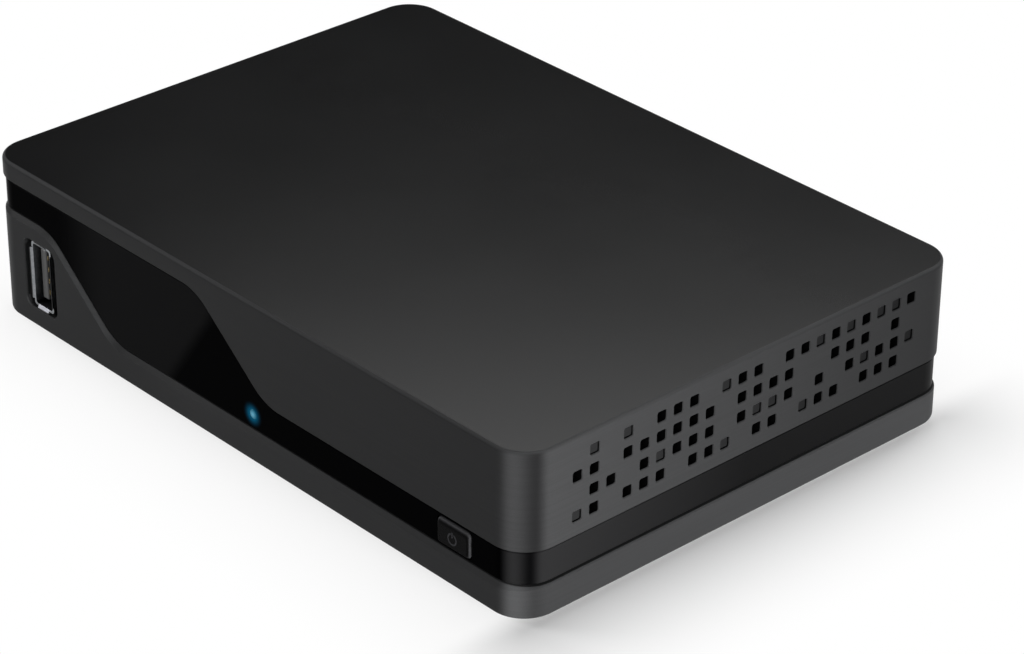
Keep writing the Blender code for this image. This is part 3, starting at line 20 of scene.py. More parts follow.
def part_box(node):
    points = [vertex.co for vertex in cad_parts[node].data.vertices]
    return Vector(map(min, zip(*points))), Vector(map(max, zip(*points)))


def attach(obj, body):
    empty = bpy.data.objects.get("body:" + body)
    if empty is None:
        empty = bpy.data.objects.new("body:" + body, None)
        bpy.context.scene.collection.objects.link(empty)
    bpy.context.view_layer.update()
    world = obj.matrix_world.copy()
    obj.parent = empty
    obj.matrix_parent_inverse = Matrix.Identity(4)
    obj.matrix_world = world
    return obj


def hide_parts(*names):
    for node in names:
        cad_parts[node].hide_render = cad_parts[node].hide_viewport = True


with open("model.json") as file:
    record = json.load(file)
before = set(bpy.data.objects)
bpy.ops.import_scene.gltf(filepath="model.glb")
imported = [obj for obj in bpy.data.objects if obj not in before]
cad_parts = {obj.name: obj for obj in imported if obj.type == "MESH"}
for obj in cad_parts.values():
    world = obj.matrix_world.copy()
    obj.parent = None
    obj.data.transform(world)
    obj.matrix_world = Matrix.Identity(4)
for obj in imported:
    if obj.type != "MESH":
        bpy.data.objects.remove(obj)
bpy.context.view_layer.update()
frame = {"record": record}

# %% [markdown]
# ## Where things are
#
# Every size below comes from the frame where the frame can give it: a node's
# box says how far a shell reaches.  A few wall thicknesses and margins can't
# be read from a box, so they are named here once, in metres.

# %% Read the outer sizes from the frame
upper_low, upper_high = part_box("upper_shell")
lower_low, lower_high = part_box("lower_shell")
LEFT_X, RIGHT_X = upper_low.x, upper_high.x
FRONT_Y, BACK_Y = upper_low.y, upper_high.y
BASE_Z, TOP_Z = lower_low.z, upper_high.z
DEEP_PANEL_Z = lower_high.z
MIDDLE_Y = (FRONT_Y + BACK_Y) / 2
print("case", RIGHT_X - LEFT_X, "by", BACK_Y - FRONT_Y, "by", TOP_Z - BASE_Z)

# %% Name the walls, gaps and edges
CORNER_RADIUS = 0.0068
WALL = 0.0020
FIT_GAP = 0.0003
LIP_Z = TOP_Z - 0.0038
STRIP_Z = BASE_Z + 0.0063
DEEP_WALL_Z = STRIP_Z + 0.0068
BAND_RECESS = 0.0004
FRAME_INSET = WALL + FIT_GAP
FRAME_WALL = 0.0012
ROOM_INSET = FRAME_INSET + FRAME_WALL
TOP_ROUND = 0.0007
OVERRUN = 0.0020
print("heights of the edges:", *(round(z, 4) for z in (STRIP_Z, DEEP_WALL_Z, LIP_Z)))

# %% [markdown]
# ## The two sloping lines
#
# Seen from the front, the lip of the upper shell runs level, slopes down and
# runs level again, and the lower shell does the same further to the left.
# One formula gives all four lines: two levels, a straight slope between them,
# and an arc at each bend that touches both.

# %% Write the line of a shell's edge as a formula
SWEEP_FILLET = 0.0110
SWEEP_WIDTH = 0.0188
UPPER_BEND_X = LEFT_X + 0.0620
LOWER_BEND_X = LEFT_X + 0.0180
PANEL_LOW, PANEL_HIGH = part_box("rear_panel")
REAR_END_X = PANEL_LOW.x - 0.0012
FRONT_UPPER = (UPPER_BEND_X, UPPER_BEND_X + SWEEP_WIDTH, LIP_Z, DEEP_WALL_Z)
FRONT_LOWER = (LOWER_BEND_X, LOWER_BEND_X + SWEEP_WIDTH, DEEP_PANEL_Z, STRIP_Z)
REAR_LOWER = (REAR_END_X - SWEEP_WIDTH, REAR_END_X, DEEP_PANEL_Z, STRIP_Z)
REAR_UPPER = (-REAR_END_X, SWEEP_WIDTH - REAR_END_X, LIP_Z, DEEP_WALL_Z)


def bend_reach(line):
    """Return how far each bend reaches before and after its corner, and the slope.

    The slope is the angle of the straight stretch.  An arc of radius r that
    touches two lines at that angle starts r times the tangent of half of it
    before the corner, and spans r times its sine along x.
    """
    start, end, high, low = line
    slope = math.atan2(high - low, end - start)
    return SWEEP_FILLET * math.tan(slope / 2), SWEEP_FILLET * math.sin(slope), slope


def edge_line(x, line):
    """Return an edge's height over x, and its lean: how much longer an upright cut through it is.

    The line runs level, arc, slope, arc, level.  In an arc of radius r the
    height changes by r less the root of r squared less the square of the
    distance into the arc.  The lean is 1 / cos(angle).
    """
    start, end, high, low = line
    before, span, slope = bend_reach(line)
    first = np.clip(x - (start - before), 0, span)
    last = np.clip(end + before - x, 0, span)
    drop, rise = (SWEEP_FILLET - np.sqrt(SWEEP_FILLET**2 - into**2) for into in (first, last))
    sloping = np.where(last < span, low + rise, high - (x - start) * math.tan(slope))
    lean = 1 / np.sqrt(1 - (np.minimum(first, last) / SWEEP_FILLET) ** 2)
    return np.where(first < span, high - drop, sloping), lean


print("slope of the front line:", round(math.degrees(bend_reach(FRONT_UPPER)[2]), 1), "degrees")

# %% [markdown]
# ## A ring that can be drawn in
#
# Both shells and the band are walls that go round a rounded rectangle.  Their
# surface is a function of two parameters: one runs round the ring, the other
# along the wall's cross-section.  If each ring point is kept as an anchor and
# an outward direction, then every ring of the wall is the anchor plus the
# direction times the corner radius less the inset, and corners stay round.

# %% Work out the ring and its heights
CORNER_STEPS = 18
SWEEP_POINTS = 44


def sweep_stations(*lines):
    """Return the x places that the sloping lines need, from left to right."""
    places = []
    for line in lines:
        before = bend_reach(line)[0]
        places.append(np.linspace(line[0] - before, line[1] + before, SWEEP_POINTS))
    return np.unique(np.concatenate(places).round(6))


def ring(front_stations, rear_stations):
    """Return anchors and outward directions, anticlockwise seen from above.

    On a side the anchor slides and the direction stays square to it.  In a
    corner the anchor stays at the corner's centre while the direction turns
    by a quarter: (cosine, sine) of an angle that grows evenly.
    """
    low = np.array((LEFT_X + CORNER_RADIUS, FRONT_Y + CORNER_RADIUS))
    high = np.array((RIGHT_X - CORNER_RADIUS, BACK_Y - CORNER_RADIUS))
    centres = ((high[0], low[1]), (high[0], high[1]), (low[0], high[1]), (low[0], low[1]))
    stations = (front_stations, None, rear_stations[::-1], None)
    anchors, angles = [], []
    for quarter, (centre, along) in enumerate(zip(centres, stations)):
        square = (quarter - 1) * math.pi / 2
        if along is not None:
            anchors.append(np.column_stack((along, np.full(len(along), centre[1]))))
            angles.append(np.full(len(along), square))
        anchors.append(np.tile(centre, (CORNER_STEPS + 1, 1)))
        angles.append(square + np.linspace(0, math.pi / 2, CORNER_STEPS + 1))
    turned = np.concatenate(angles)
    return np.vstack(anchors), np.column_stack((np.cos(turned), np.sin(turned)))


def ring_edge(anchors, directions, front, rear):
    """Return an edge's height and lean at each ring point, from its front and rear lines."""
    x = anchors[:, 0] + directions[:, 0] * CORNER_RADIUS
    both = zip(edge_line(x, front), edge_line(x, rear))
    return [np.where(anchors[:, 1] < MIDDLE_Y, *pair) for pair in both]


def wall_points(anchors, directions, profile):
    """Return the grid of a wall: one row for each (inset, height) of the profile.

    A point is the anchor plus the direction times (corner radius less inset),
    at the row's height.  Insets and heights may be arrays round the ring.
    """
    insets, heights = (
        np.array([np.broadcast_to(row[column], len(anchors)) for row in profile]) for column in (0, 1)
    )
    plan = anchors[None] + directions[None] * (CORNER_RADIUS - insets)[..., None]
    return np.dstack((plan, heights))


def quarter_round(radius, steps):
    """Return (sine, cosine) pairs of a quarter turn in even steps, times the radius."""
    turn = np.linspace(0, math.pi / 2, steps + 1)
    return list(zip(radius * np.sin(turn), radius * np.cos(turn)))


print("stations along the upper shell's front line:", len(sweep_stations(FRONT_UPPER)))

# %% [markdown]
# ## From a grid of points to a closed mesh
#
# A grid becomes quads between neighbouring rows and columns.  The columns of
# a ring always close on themselves.  The rows either close as well, as in the
# band, or end in two flat caps.  A piece that is cut afterwards goes through
# an exact Boolean, and the cutter is thrown away at once, so that the mesh is
# final.

# %% Turn grids into meshes
def grid_mesh(name, points, closed_rows=False):
    """Return a mesh of quads over points[row, column], with faces pointing out."""
    rows, columns = points.shape[:2]
    index = np.arange(rows * columns).reshape(rows, columns)
    below = np.roll(index, -1, axis=0) if closed_rows else index[1:]
    here = index if closed_rows else index[:-1]
    quads = np.stack((here, below, np.roll(below, -1, axis=1), np.roll(here, -1, axis=1)), axis=-1)
    faces = quads.reshape(-1, 4).tolist()
    if not closed_rows:
        faces += [index[0].tolist(), index[-1][::-1].tolist()]
    mesh = bpy.data.meshes.new(name)
    mesh.from_pydata(points.reshape(-1, 3).tolist(), [], faces)
    shape = bmesh.new()
    shape.from_mesh(mesh)
    bmesh.ops.recalc_face_normals(shape, faces=shape.faces)
    shape.to_mesh(mesh)
    shape.free()
    return mesh


def joined(name, meshes):
    """Return one mesh that holds several, each still closed on its own."""
    shape = bmesh.new()
    for mesh in meshes:
        shape.from_mesh(mesh)
        bpy.data.meshes.remove(mesh)
    whole = bpy.data.meshes.new(name)
    shape.to_mesh(whole)
    shape.free()
    return whole


def piece(name, mesh):
    """Put a mesh in the scene as a piece with its place in its points."""
    item = bpy.data.objects.new(name, mesh)
    bpy.context.scene.collection.objects.link(item)
    return item


def combine(item, mesh, operation="DIFFERENCE"):
    """Cut a mesh out of a piece, or join it on, for good."""
    tool = piece("tool", mesh)
    change = item.modifiers.new(operation, "BOOLEAN")
    change.object = tool
    change.operation = operation
    change.solver = "EXACT"
    change.use_self = False
    ready = item.evaluated_get(bpy.context.evaluated_depsgraph_get())
    old = item.data
    item.data = bpy.data.meshes.new_from_object(ready)
    item.modifiers.clear()
    bpy.data.meshes.remove(old)
    bpy.data.objects.remove(tool)
    bpy.data.meshes.remove(mesh)
    return item


# %% Place a finished piece
SMOOTH_ANGLE = math.radians(32)
PIECE_SLOTS = {}
DRESSED_NODES = set()


def place(item, slot, body, *nodes):
    """Let a piece ride on a body, take a finish's slot and stand for its nodes.

    Round stretches are shaded smooth, and flat faces stay flat right up to
    their edges.
    """
    item.data.shade_smooth()
    item.data.set_sharp_from_angle(angle=SMOOTH_ANGLE)
    even = item.modifiers.new("even", "WEIGHTED_NORMAL")
    even.keep_sharp = True
    item.data.name = item.name
    PIECE_SLOTS[item.name] = slot
    DRESSED_NODES.update(nodes)
    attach(item, body)
    if nodes:
        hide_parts(*nodes)
    print(item.name, "has", len(item.data.polygons), "faces")


# %% [markdown]
# ## Simple cutters
#
# Boxes, rounded blocks and turned shapes are lofts too: a loop of points that
# is repeated at several depths.  A loop drawn in or let out from one depth to
# the next gives a taper or a chamfer.

# %% Make loops and lofts
AXIS_ORDERS = {"X": (2, 0, 1), "Y": (0, 2, 1), "Z": (0, 1, 2)}
BLOCK_CORNER = 0.0002


def rounded_loop(width, height, radius, steps=4):
    """Return (n, 2) points of a rounded rectangle about the origin, anticlockwise."""
    turns = np.linspace(0, math.pi / 2, steps + 1) + np.arange(4)[:, None] * math.pi / 2
    corners = np.repeat(((1, 1), (-1, 1), (-1, -1), (1, -1)), steps + 1, axis=0)
    arcs = radius * np.column_stack((np.cos(turns.ravel()), np.sin(turns.ravel())))
    return arcs + corners * (width / 2 - radius, height / 2 - radius)


def circle_loop(radius, steps):
    """Return (n, 2) points of a circle: radius times (cosine, sine) of evenly spaced angles."""
    turn = np.arange(steps) * 2 * math.pi / steps
    return radius * np.column_stack((np.cos(turn), np.sin(turn)))


def loft(layers, centre, axis="Y"):
    """Return a closed mesh through (loop, depth) layers that are stacked along an axis.

    Along Y a loop's two coordinates are x and z, along X they are y and z, and
    along Z they are x and y.
    """
    stacked = np.array([np.column_stack((loop, np.full(len(loop), depth))) for loop, depth in layers])
    return grid_mesh("loft", stacked[..., AXIS_ORDERS[axis]] + np.array(centre))


def bar(loop, near, far, centre):
    """Return a straight bar along Y: one loop at two depths."""
    return loft([(loop, near), (loop, far)], centre)


def block(low, high, radius=BLOCK_CORNER):
    """Return a box between two corners whose upright edges along Z are rounded."""
    low, high = np.array(low), np.array(high)
    width, length, height = high - low
    loop = rounded_loop(width, length, radius, 2)
    return loft([(loop, 0), (loop, height)], (*((low + high) / 2)[:2], low[2]), "Z")


def turned(profile, centre, axis, steps):
    """Return a closed turned shape: each (radius, depth) of the profile is swept round the axis."""
    return loft([(circle_loop(radius, steps), depth) for radius, depth in profile], centre, axis)


def measured(node):
    """Return the lowest corner, the highest corner, the middle and the half width of a node."""
    low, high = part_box(node)
    return low, high, (low + high) / 2, (high.x - low.x) / 2


def turned_at(nodes, profile, steps, base=0.0):
    """Return one turned shape for each node, upright over the node's middle."""
    middles = [measured(name)[2] for name in nodes]
    return joined("turned", [turned(profile, (*middle[:2], base), "Z", steps) for middle in middles])


print("points in a rounded loop:", len(rounded_loop(1.0, 1.0, 0.2)))

# %% [markdown]
# ## The upper shell
#
# This is an injection moulding: flat top, soft upper edge, thin lip on the
# left and deep wall on the right.  A box with a bevel would lose the sloping
# line, so the wall is one grid whose lowest rows follow the edge's formula.
# The cross-section runs from the top, over the soft edge, down the outside,
# under the edge and up the inside.

# %% Make the upper shell's walls
LOWER_BREAK = 0.00025
BREAK_BULGE = 0.3
INNER_FILLET, FILLET_STEPS = 0.0008, 3
ROUND_STEPS = 7


def upper_walls():
    """Return the upper shell without its vents."""
    anchors, directions = ring(sweep_stations(FRONT_UPPER), sweep_stations(REAR_UPPER))
    edge, lean = ring_edge(anchors, directions, FRONT_UPPER, REAR_UPPER)
    brink, roof = LOWER_BREAK * lean, TOP_Z - WALL
    profile = [(TOP_ROUND - s, TOP_Z - TOP_ROUND + c) for s, c in quarter_round(TOP_ROUND, ROUND_STEPS)]
    profile += [(0, edge + brink), (LOWER_BREAK * BREAK_BULGE, edge + brink * BREAK_BULGE)]
    profile += [(LOWER_BREAK, edge), (WALL - LOWER_BREAK, edge), (WALL, edge + brink)]
    rounds = quarter_round(INNER_FILLET, FILLET_STEPS)
    profile += [(WALL + INNER_FILLET - c, roof - INNER_FILLET + s) for s, c in rounds]
    return grid_mesh("upper_case", wall_points(anchors, directions, profile))


upper = piece("upper_case", upper_walls())
print("upper case points:", len(upper.data.vertices))

# %% [markdown]
# ## The vents
#
# The right wall carries a scatter of 2 mm squares on an even grid.  Most go
# right through; some are only shallow marks.  The pattern is a drawing in
# four strings, an X for a hole and an o for a mark.  Every hole gets a tiny
# funnel at its mouth, as a mould gives, so that its rim catches light.  The
# left wall has the same field, turned over with the shells.

# %% Cut the vents
VENT_SIZE = 0.0020
VENT_CORNER = 0.00028
VENT_RIM = 0.00014
VENT_PITCH = 0.00378
VENT_START = 0.01215
VENT_TOP_DROP = 0.00376
VENT_BLIND_DEPTH = 0.0005
VENT_ROWS = (
    ".o.o.XXX.oXX.XXoXoXooX",
    "XX.XXXXXX.XXXX..XXX.X.",
    ".XX.XoXXX.XooX.X.XoXXo",
    "oX.XXX.XXo.XX.oXX.XXX.",
)


def vent_cutters(side):
    """Return all the vents of one wall: side is 1 for the right and -1 for the left."""
    wide = VENT_SIZE + 2 * VENT_RIM
    mouth = rounded_loop(wide, wide, VENT_CORNER + VENT_RIM, 3)
    throat = rounded_loop(VENT_SIZE, VENT_SIZE, VENT_CORNER, 3)
    meshes = []
    for row, marks in enumerate(VENT_ROWS):
        drop = VENT_TOP_DROP + row * VENT_PITCH
        z = TOP_Z - drop if side > 0 else BASE_Z + drop
        for column, mark in enumerate(marks):
            if mark == ".":
                continue
            depth = WALL + OVERRUN if mark == "X" else VENT_BLIND_DEPTH
            layers = [(mouth, side * OVERRUN), (mouth, 0)]
            layers += [(throat, -side * VENT_RIM), (throat, -side * depth)]
            y = FRONT_Y + VENT_START + column * VENT_PITCH
            meshes.append(loft(layers, (side * RIGHT_X, y, z), "X"))
    return joined("vents", meshes)


combine(upper, vent_cutters(1))
print("upper case with vents:", len(upper.data.polygons), "faces")

# %% [markdown]
# ## The lower shell
#
# The lower shell is the same idea turned over: floor, strip along the front
# and right, deep wall on the left.  Its front edge has a chamfer, wide enough
# to catch a line of light all along the slope, and the shells' finish paints a
# highlight on it as well.  The chamfer fades out round the corners, because
# its width follows how squarely the wall faces front.

# %% Make the lower shell's walls
FRONT_CHAMFER = 0.00095
SIDE_CHAMFER = 0.0003
CHAMFER_INSET_SHARE = 0.55
BOTTOM_ROUND = 0.0007


def lower_walls():
    """Return the lower shell without its openings."""
    anchors, directions = ring(sweep_stations(FRONT_LOWER), sweep_stations(REAR_LOWER))
    edge, lean = ring_edge(anchors, directions, FRONT_LOWER, REAR_LOWER)
    facing = np.clip(-directions[:, 1], 0, 1) ** 2
    chamfer = SIDE_CHAMFER + (FRONT_CHAMFER - SIDE_CHAMFER) * facing
    inset = chamfer * CHAMFER_INSET_SHARE
    floor = BASE_Z + WALL
    rounds = quarter_round(INNER_FILLET, FILLET_STEPS)
    profile = [(WALL + INNER_FILLET - s, floor + INNER_FILLET - c) for s, c in rounds]
    profile += [(WALL, edge - LOWER_BREAK * lean), (WALL - LOWER_BREAK, edge)]
    profile += [(inset + LOWER_BREAK / 3, edge), (inset, edge - LOWER_BREAK * lean / 4)]
    profile += [(LOWER_BREAK / 4, edge - (chamfer - LOWER_BREAK / 3) * lean), (0, edge - chamfer * lean)]
    rounds = quarter_round(BOTTOM_ROUND, ROUND_STEPS)
    profile += [(BOTTOM_ROUND - c, BASE_Z + BOTTOM_ROUND - s) for s, c in rounds]
    return grid_mesh("lower_case", wall_points(anchors, directions, profile))


lower = piece("lower_case", lower_walls())
combine(lower, vent_cutters(-1))
print("lower case points:", len(lower.data.vertices))

# %% [markdown]
# ## Openings and pillars of the shells
#
# The port stands behind a plain rounded window of the front, with a dark gap
# all round it.  The underside has pockets for the feet and stepped holes for
# the four case screws.  Inside, columns hang from the roof to those screws and
# bosses rise to meet them, standoffs carry the main board, and two slotted
# posts hold the front board.  All are lofts, turned shapes or blocks.

# %% Build the columns, bosses, standoffs and posts
FOOT_NODES = ("foot_front_left", "foot_front_right", "foot_rear_left", "foot_rear_right")
CASE_SCREWS = tuple(name.replace("foot", "case_screw") for name in FOOT_NODES)
BOARD_SCREWS = tuple(name.replace("foot", "board_screw") for name in FOOT_NODES)
SHANK_RADIUS, BOARD_SHANK_RADIUS = 0.0013, 0.0011
COLUMN_RADIUS, BOSS_HEIGHT = 0.0030, 0.0020
STANDOFF_RADIUS = 0.0028
ROOT_FLARE = 0.0005
PILLAR_STEPS, BORE_STEPS = 32, 24
POST_X = RIGHT_X - 0.0250
POST_WIDTH, POST_RIB, POST_HEIGHT = 0.0040, 0.0012, 0.0080


def pillars(nodes, radius, root, end):
    """Return turned pillars at the nodes' places: a flared root in the wall and a broken end."""
    way = math.copysign(1, end - root)
    wide = radius + ROOT_FLARE
    profile = [(wide, root - way * WALL / 2), (wide, root), (radius, root + way * ROOT_FLARE)]
    profile += [(radius, end - way * FIT_GAP), (radius - FIT_GAP, end)]
    return turned_at(nodes, profile, PILLAR_STEPS)


def bores(nodes, radius, low, high):
    """Return round cutters at the nodes' places, between two heights."""
    return turned_at(nodes, [(radius, low), (radius, high)], BORE_STEPS)


def posts():
    """Return the two posts of the front board: a foot and two ribs with a slot between them."""
    low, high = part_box("front_board")
    floor_z, top_z = BASE_Z + WALL, BASE_Z + WALL + POST_HEIGHT
    slot_low, slot_high = low.y - FIT_GAP, high.y + FIT_GAP
    meshes = []
    for middle_x in (-POST_X, POST_X):
        near_x, far_x = middle_x - POST_WIDTH / 2, middle_x + POST_WIDTH / 2
        ends = (near_x, slot_low - POST_RIB, floor_z - WALL / 2), (far_x, slot_high + POST_RIB, top_z)
        item = piece("post", block(*ends))
        slot_end = (far_x + OVERRUN, slot_high, top_z + OVERRUN)
        combine(item, block((near_x - OVERRUN, slot_low, low.z - FIT_GAP), slot_end))
        meshes.append(item.data)
        bpy.data.objects.remove(item)
    return joined("posts", meshes)


column_end = BASE_Z + WALL + BOSS_HEIGHT + FIT_GAP
column_bore = column_end - OVERRUN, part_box(CASE_SCREWS[0])[1].z + FIT_GAP
board_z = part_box("main_board")[0].z
standoff_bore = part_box(BOARD_SCREWS[0])[0].z - FIT_GAP, board_z + OVERRUN
combine(upper, pillars(CASE_SCREWS, COLUMN_RADIUS, TOP_Z - WALL, column_end), "UNION")
combine(upper, bores(CASE_SCREWS, SHANK_RADIUS + FIT_GAP, *column_bore))
combine(lower, pillars(CASE_SCREWS, COLUMN_RADIUS, BASE_Z + WALL, column_end - FIT_GAP), "UNION")
combine(lower, pillars(BOARD_SCREWS, STANDOFF_RADIUS, BASE_Z + WALL, board_z - FIT_GAP), "UNION")
combine(lower, bores(BOARD_SCREWS, BOARD_SHANK_RADIUS + FIT_GAP, *standoff_bore))
combine(lower, posts(), "UNION")
print("cases with pillars:", len(upper.data.polygons), "and", len(lower.data.polygons), "faces")

# %% Cut the port's window, the pockets and the screw holes
usb_low, usb_high, usb_middle, _ = measured("usb_port_shell")
WINDOW_WIDTH, WINDOW_HEIGHT, WINDOW_CORNER = 0.0095, 0.0141, 0.0020
WINDOW_RIM = 0.0002
HEAD_HEIGHT = 0.0016


def usb_window():
    """Return the port's window: a rounded hole whose mouth is broken by a small chamfer."""
    mouth = rounded_loop(WINDOW_WIDTH + 2 * WINDOW_RIM, WINDOW_HEIGHT + 2 * WINDOW_RIM, WINDOW_CORNER, 8)
    throat = rounded_loop(WINDOW_WIDTH, WINDOW_HEIGHT, WINDOW_CORNER - WINDOW_RIM, 8)
    layers = [(mouth, -OVERRUN), (mouth, 0), (throat, WINDOW_RIM), (throat, WALL + OVERRUN)]
    return loft(layers, (usb_middle.x, FRONT_Y, usb_middle.z))


def underside_holes():
    """Return the pockets of the feet and the stepped holes of the case screws."""
    _, high, _, radius = measured(FOOT_NODES[0])
    pocket = [(radius + FIT_GAP, -OVERRUN), (radius + FIT_GAP, high.z + FIT_GAP - BASE_Z)]
    low, _, _, radius = measured(CASE_SCREWS[0])
    wide, bore = radius + FIT_GAP, SHANK_RADIUS + FIT_GAP
    seat = low.z - BASE_Z + HEAD_HEIGHT + FIT_GAP
    stepped = [(wide + FIT_GAP, -OVERRUN), (wide + FIT_GAP, 0), (wide, FIT_GAP), (wide, seat)]
    stepped += [(bore, seat), (bore, WALL + BOSS_HEIGHT + OVERRUN)]
    pockets = turned_at(FOOT_NODES, pocket, 48, BASE_Z)
    return joined("underside", [pockets, turned_at(CASE_SCREWS, stepped, PILLAR_STEPS, BASE_Z)])


combine(lower, usb_window())
combine(lower, underside_holes())
print("lower case with openings:", len(lower.data.polygons), "faces")

# %% [markdown]
# ## The glossy band
#
# The band is a second ring inside the two shells.  Its face shows between
# their edges and follows both sloping lines with an even gap.  Behind the
# shells it steps in and becomes the frame that both of them trap.  The rows
# of its grid close on themselves, so the whole ring is one loop of a loop.

# %% Make the band and its frame
BAND_BREAK = 0.0002


def band_ring():
    """Return the band with its frame, before it is opened."""
    front, rear = sweep_stations(FRONT_LOWER, FRONT_UPPER), sweep_stations(REAR_LOWER, REAR_UPPER)
    anchors, directions = ring(front, rear)
    top, top_lean = ring_edge(anchors, directions, FRONT_UPPER, REAR_UPPER)
    bottom, bottom_lean = ring_edge(anchors, directions, FRONT_LOWER, REAR_LOWER)
    top = top - FIT_GAP * top_lean
    bottom = bottom + FIT_GAP * bottom_lean
    roof, floor = TOP_Z - WALL - FIT_GAP, BASE_Z + WALL + FIT_GAP
    profile = [(FRAME_INSET, roof), (FRAME_INSET, top)]
    profile += [(BAND_RECESS + BAND_BREAK, top), (BAND_RECESS, top - BAND_BREAK * top_lean)]
    profile += [(BAND_RECESS, bottom + BAND_BREAK * bottom_lean), (BAND_RECESS + BAND_BREAK, bottom)]
    profile += [(FRAME_INSET, bottom), (FRAME_INSET, floor), (ROOM_INSET, floor), (ROOM_INSET, roof)]
    return grid_mesh("band", wall_points(anchors, directions, profile), closed_rows=True)


band = piece("band", band_ring())
print("band points:", len(band.data.vertices))

# %% [markdown]
# ## Openings of the band
#
# The button and the light come through the band's face, the vents look
# through windows in its frame, and the rear panel sits in a stepped pocket.

# %% Open the band
button_low, button_high, button_middle, _ = measured("power_button")
light_low, light_high, light_middle, light_flange = measured("status_light_pipe")
BUTTON_WIDTH, BUTTON_HEIGHT = 0.0080, 0.0048
BUTTON_CORNER = 0.0005
LIGHT_RADIUS = 0.0010
VENT_MARGIN = 0.0015
PANEL_SEAT = 0.0007
FAR_DEPTH = ROOM_INSET + OVERRUN


def vent_window(side):
    """Return the window in the frame behind one wall's vents."""
    low_y = FRONT_Y + VENT_START - VENT_PITCH / 2 - VENT_MARGIN
    high_y = low_y + len(VENT_ROWS[0]) * VENT_PITCH + 2 * VENT_MARGIN
    reach = VENT_TOP_DROP + (len(VENT_ROWS) - 1) * VENT_PITCH + VENT_SIZE / 2 + VENT_MARGIN / 2
    low_x, high_x = sorted((side * (RIGHT_X - FAR_DEPTH), side * (RIGHT_X - WALL + FIT_GAP / 2)))
    low_z, high_z = (TOP_Z - reach, TOP_Z) if side > 0 else (BASE_Z, BASE_Z + reach)
    return block((low_x, low_y, low_z), (high_x, high_y, high_z))


def front_openings():
    """Return the holes of the button, the light and the USB port."""
    hole = rounded_loop(BUTTON_WIDTH + 2 * FIT_GAP, BUTTON_HEIGHT + 2 * FIT_GAP, BUTTON_CORNER + FIT_GAP)
    width, height = usb_high.x - usb_low.x + 2 * FIT_GAP, usb_high.z - usb_low.z + 2 * FIT_GAP
    throat = rounded_loop(width, height, FIT_GAP, 2)
    radius = LIGHT_RADIUS + FIT_GAP / 3
    shaft = [(radius, -OVERRUN), (radius, FAR_DEPTH)]
    return [
        bar(hole, -OVERRUN, FAR_DEPTH, (button_middle.x, FRONT_Y, button_middle.z)),
        turned(shaft, (light_middle.x, FRONT_Y, light_middle.z), "Y", PILLAR_STEPS),
        bar(throat, WALL - FIT_GAP, FAR_DEPTH, (usb_middle.x, FRONT_Y, usb_middle.z)),
    ]


def panel_openings():
    """Return the pocket that the rear panel fits and the window behind it."""
    width = PANEL_HIGH.x - PANEL_LOW.x + 2 * FIT_GAP
    height = PANEL_HIGH.z - PANEL_LOW.z + 2 * FIT_GAP
    middle = (PANEL_LOW + PANEL_HIGH) / 2
    centre, seat = (middle.x, BACK_Y, middle.z), 2 * PANEL_SEAT + 2 * FIT_GAP
    pocket = rounded_loop(width, height, PANEL_SEAT, 3)
    window = rounded_loop(width - seat, height - seat, PANEL_SEAT, 3)
    return [bar(pocket, OVERRUN, -FRAME_INSET, centre), bar(window, 0, -FAR_DEPTH, centre)]


for opening in front_openings() + [vent_window(1), vent_window(-1)] + panel_openings():
    combine(band, opening)
place(upper, "shell", "case", "upper_shell")
place(lower, "shell", "case", "lower_shell")
place(band, "gloss_band", "case", "band_frame")

# %% [markdown]
# ## The USB port
#
# The port is bent sheet steel: a tube with a lip on each of its four sides,
# and the lips are parted at the corners.  They flare a little, which is what
# catches the light in a dark mouth.  Inside it is a dark grey tongue with four
# gilt contacts along one face.

# %% Make the USB port
USB_METAL = 0.0003
USB_CORNER = 0.0006
LIP_FLARE = (0.00035, 0.00050)
LIP_DEPTH = 0.0004
LIP_NOTCH = 0.0012
USB_BACK = 0.0010
TONGUE_CORNER, TONGUE_ROUND = 0.0002, 0.0003
CONTACT_WIDTH = 0.0010
CONTACT_PITCH = 0.0024
CONTACT_PROUD = 0.00008


def usb_metal():
    """Return the port's steel: a rounded tube, its flared mouth and the notches of its lips."""
    width, length, height = usb_high - usb_low
    outer = rounded_loop(width, height, USB_CORNER)
    lip = rounded_loop(width + 2 * LIP_FLARE[0], height + 2 * LIP_FLARE[1], USB_CORNER)
    inner = rounded_loop(width - 2 * USB_METAL, height - 2 * USB_METAL, USB_CORNER - USB_METAL / 2)
    mouth = lip * (1 - USB_METAL / width, 1 - USB_METAL / height)
    middle = (usb_middle.x, usb_low.y, usb_middle.z)
    body = [(lip, 0), (lip, USB_METAL / 4), (outer, LIP_DEPTH + USB_METAL / 2), (outer, length)]
    item = piece("usb_steel", loft(body, middle))
    hollow = [(mouth, -OVERRUN), (mouth, 0), (inner, LIP_DEPTH), (inner, length - USB_BACK)]
    combine(item, loft(hollow, middle))
    for x in (usb_low.x, usb_high.x):
        for z in (usb_low.z, usb_high.z):
            low = (x - LIP_NOTCH, usb_low.y - OVERRUN, z - LIP_NOTCH)
            combine(item, block(low, (x + LIP_NOTCH, usb_low.y + LIP_DEPTH, z + LIP_NOTCH)))
    return item


def tongue_bar(low, high, middle):
    """Return the tongue: a bar along Y whose near end is drawn in by a quarter round."""
    width, length, height = high - low
    layers = []
    for s, c in quarter_round(TONGUE_ROUND, 4):
        drawn = 2 * (TONGUE_ROUND - s)
        layers.append((rounded_loop(width - drawn, height - drawn, TONGUE_CORNER, 3), TONGUE_ROUND - c))
    layers.append((rounded_loop(width, height, TONGUE_CORNER, 3), length))
    return loft(layers, (middle.x, low.y, middle.z))


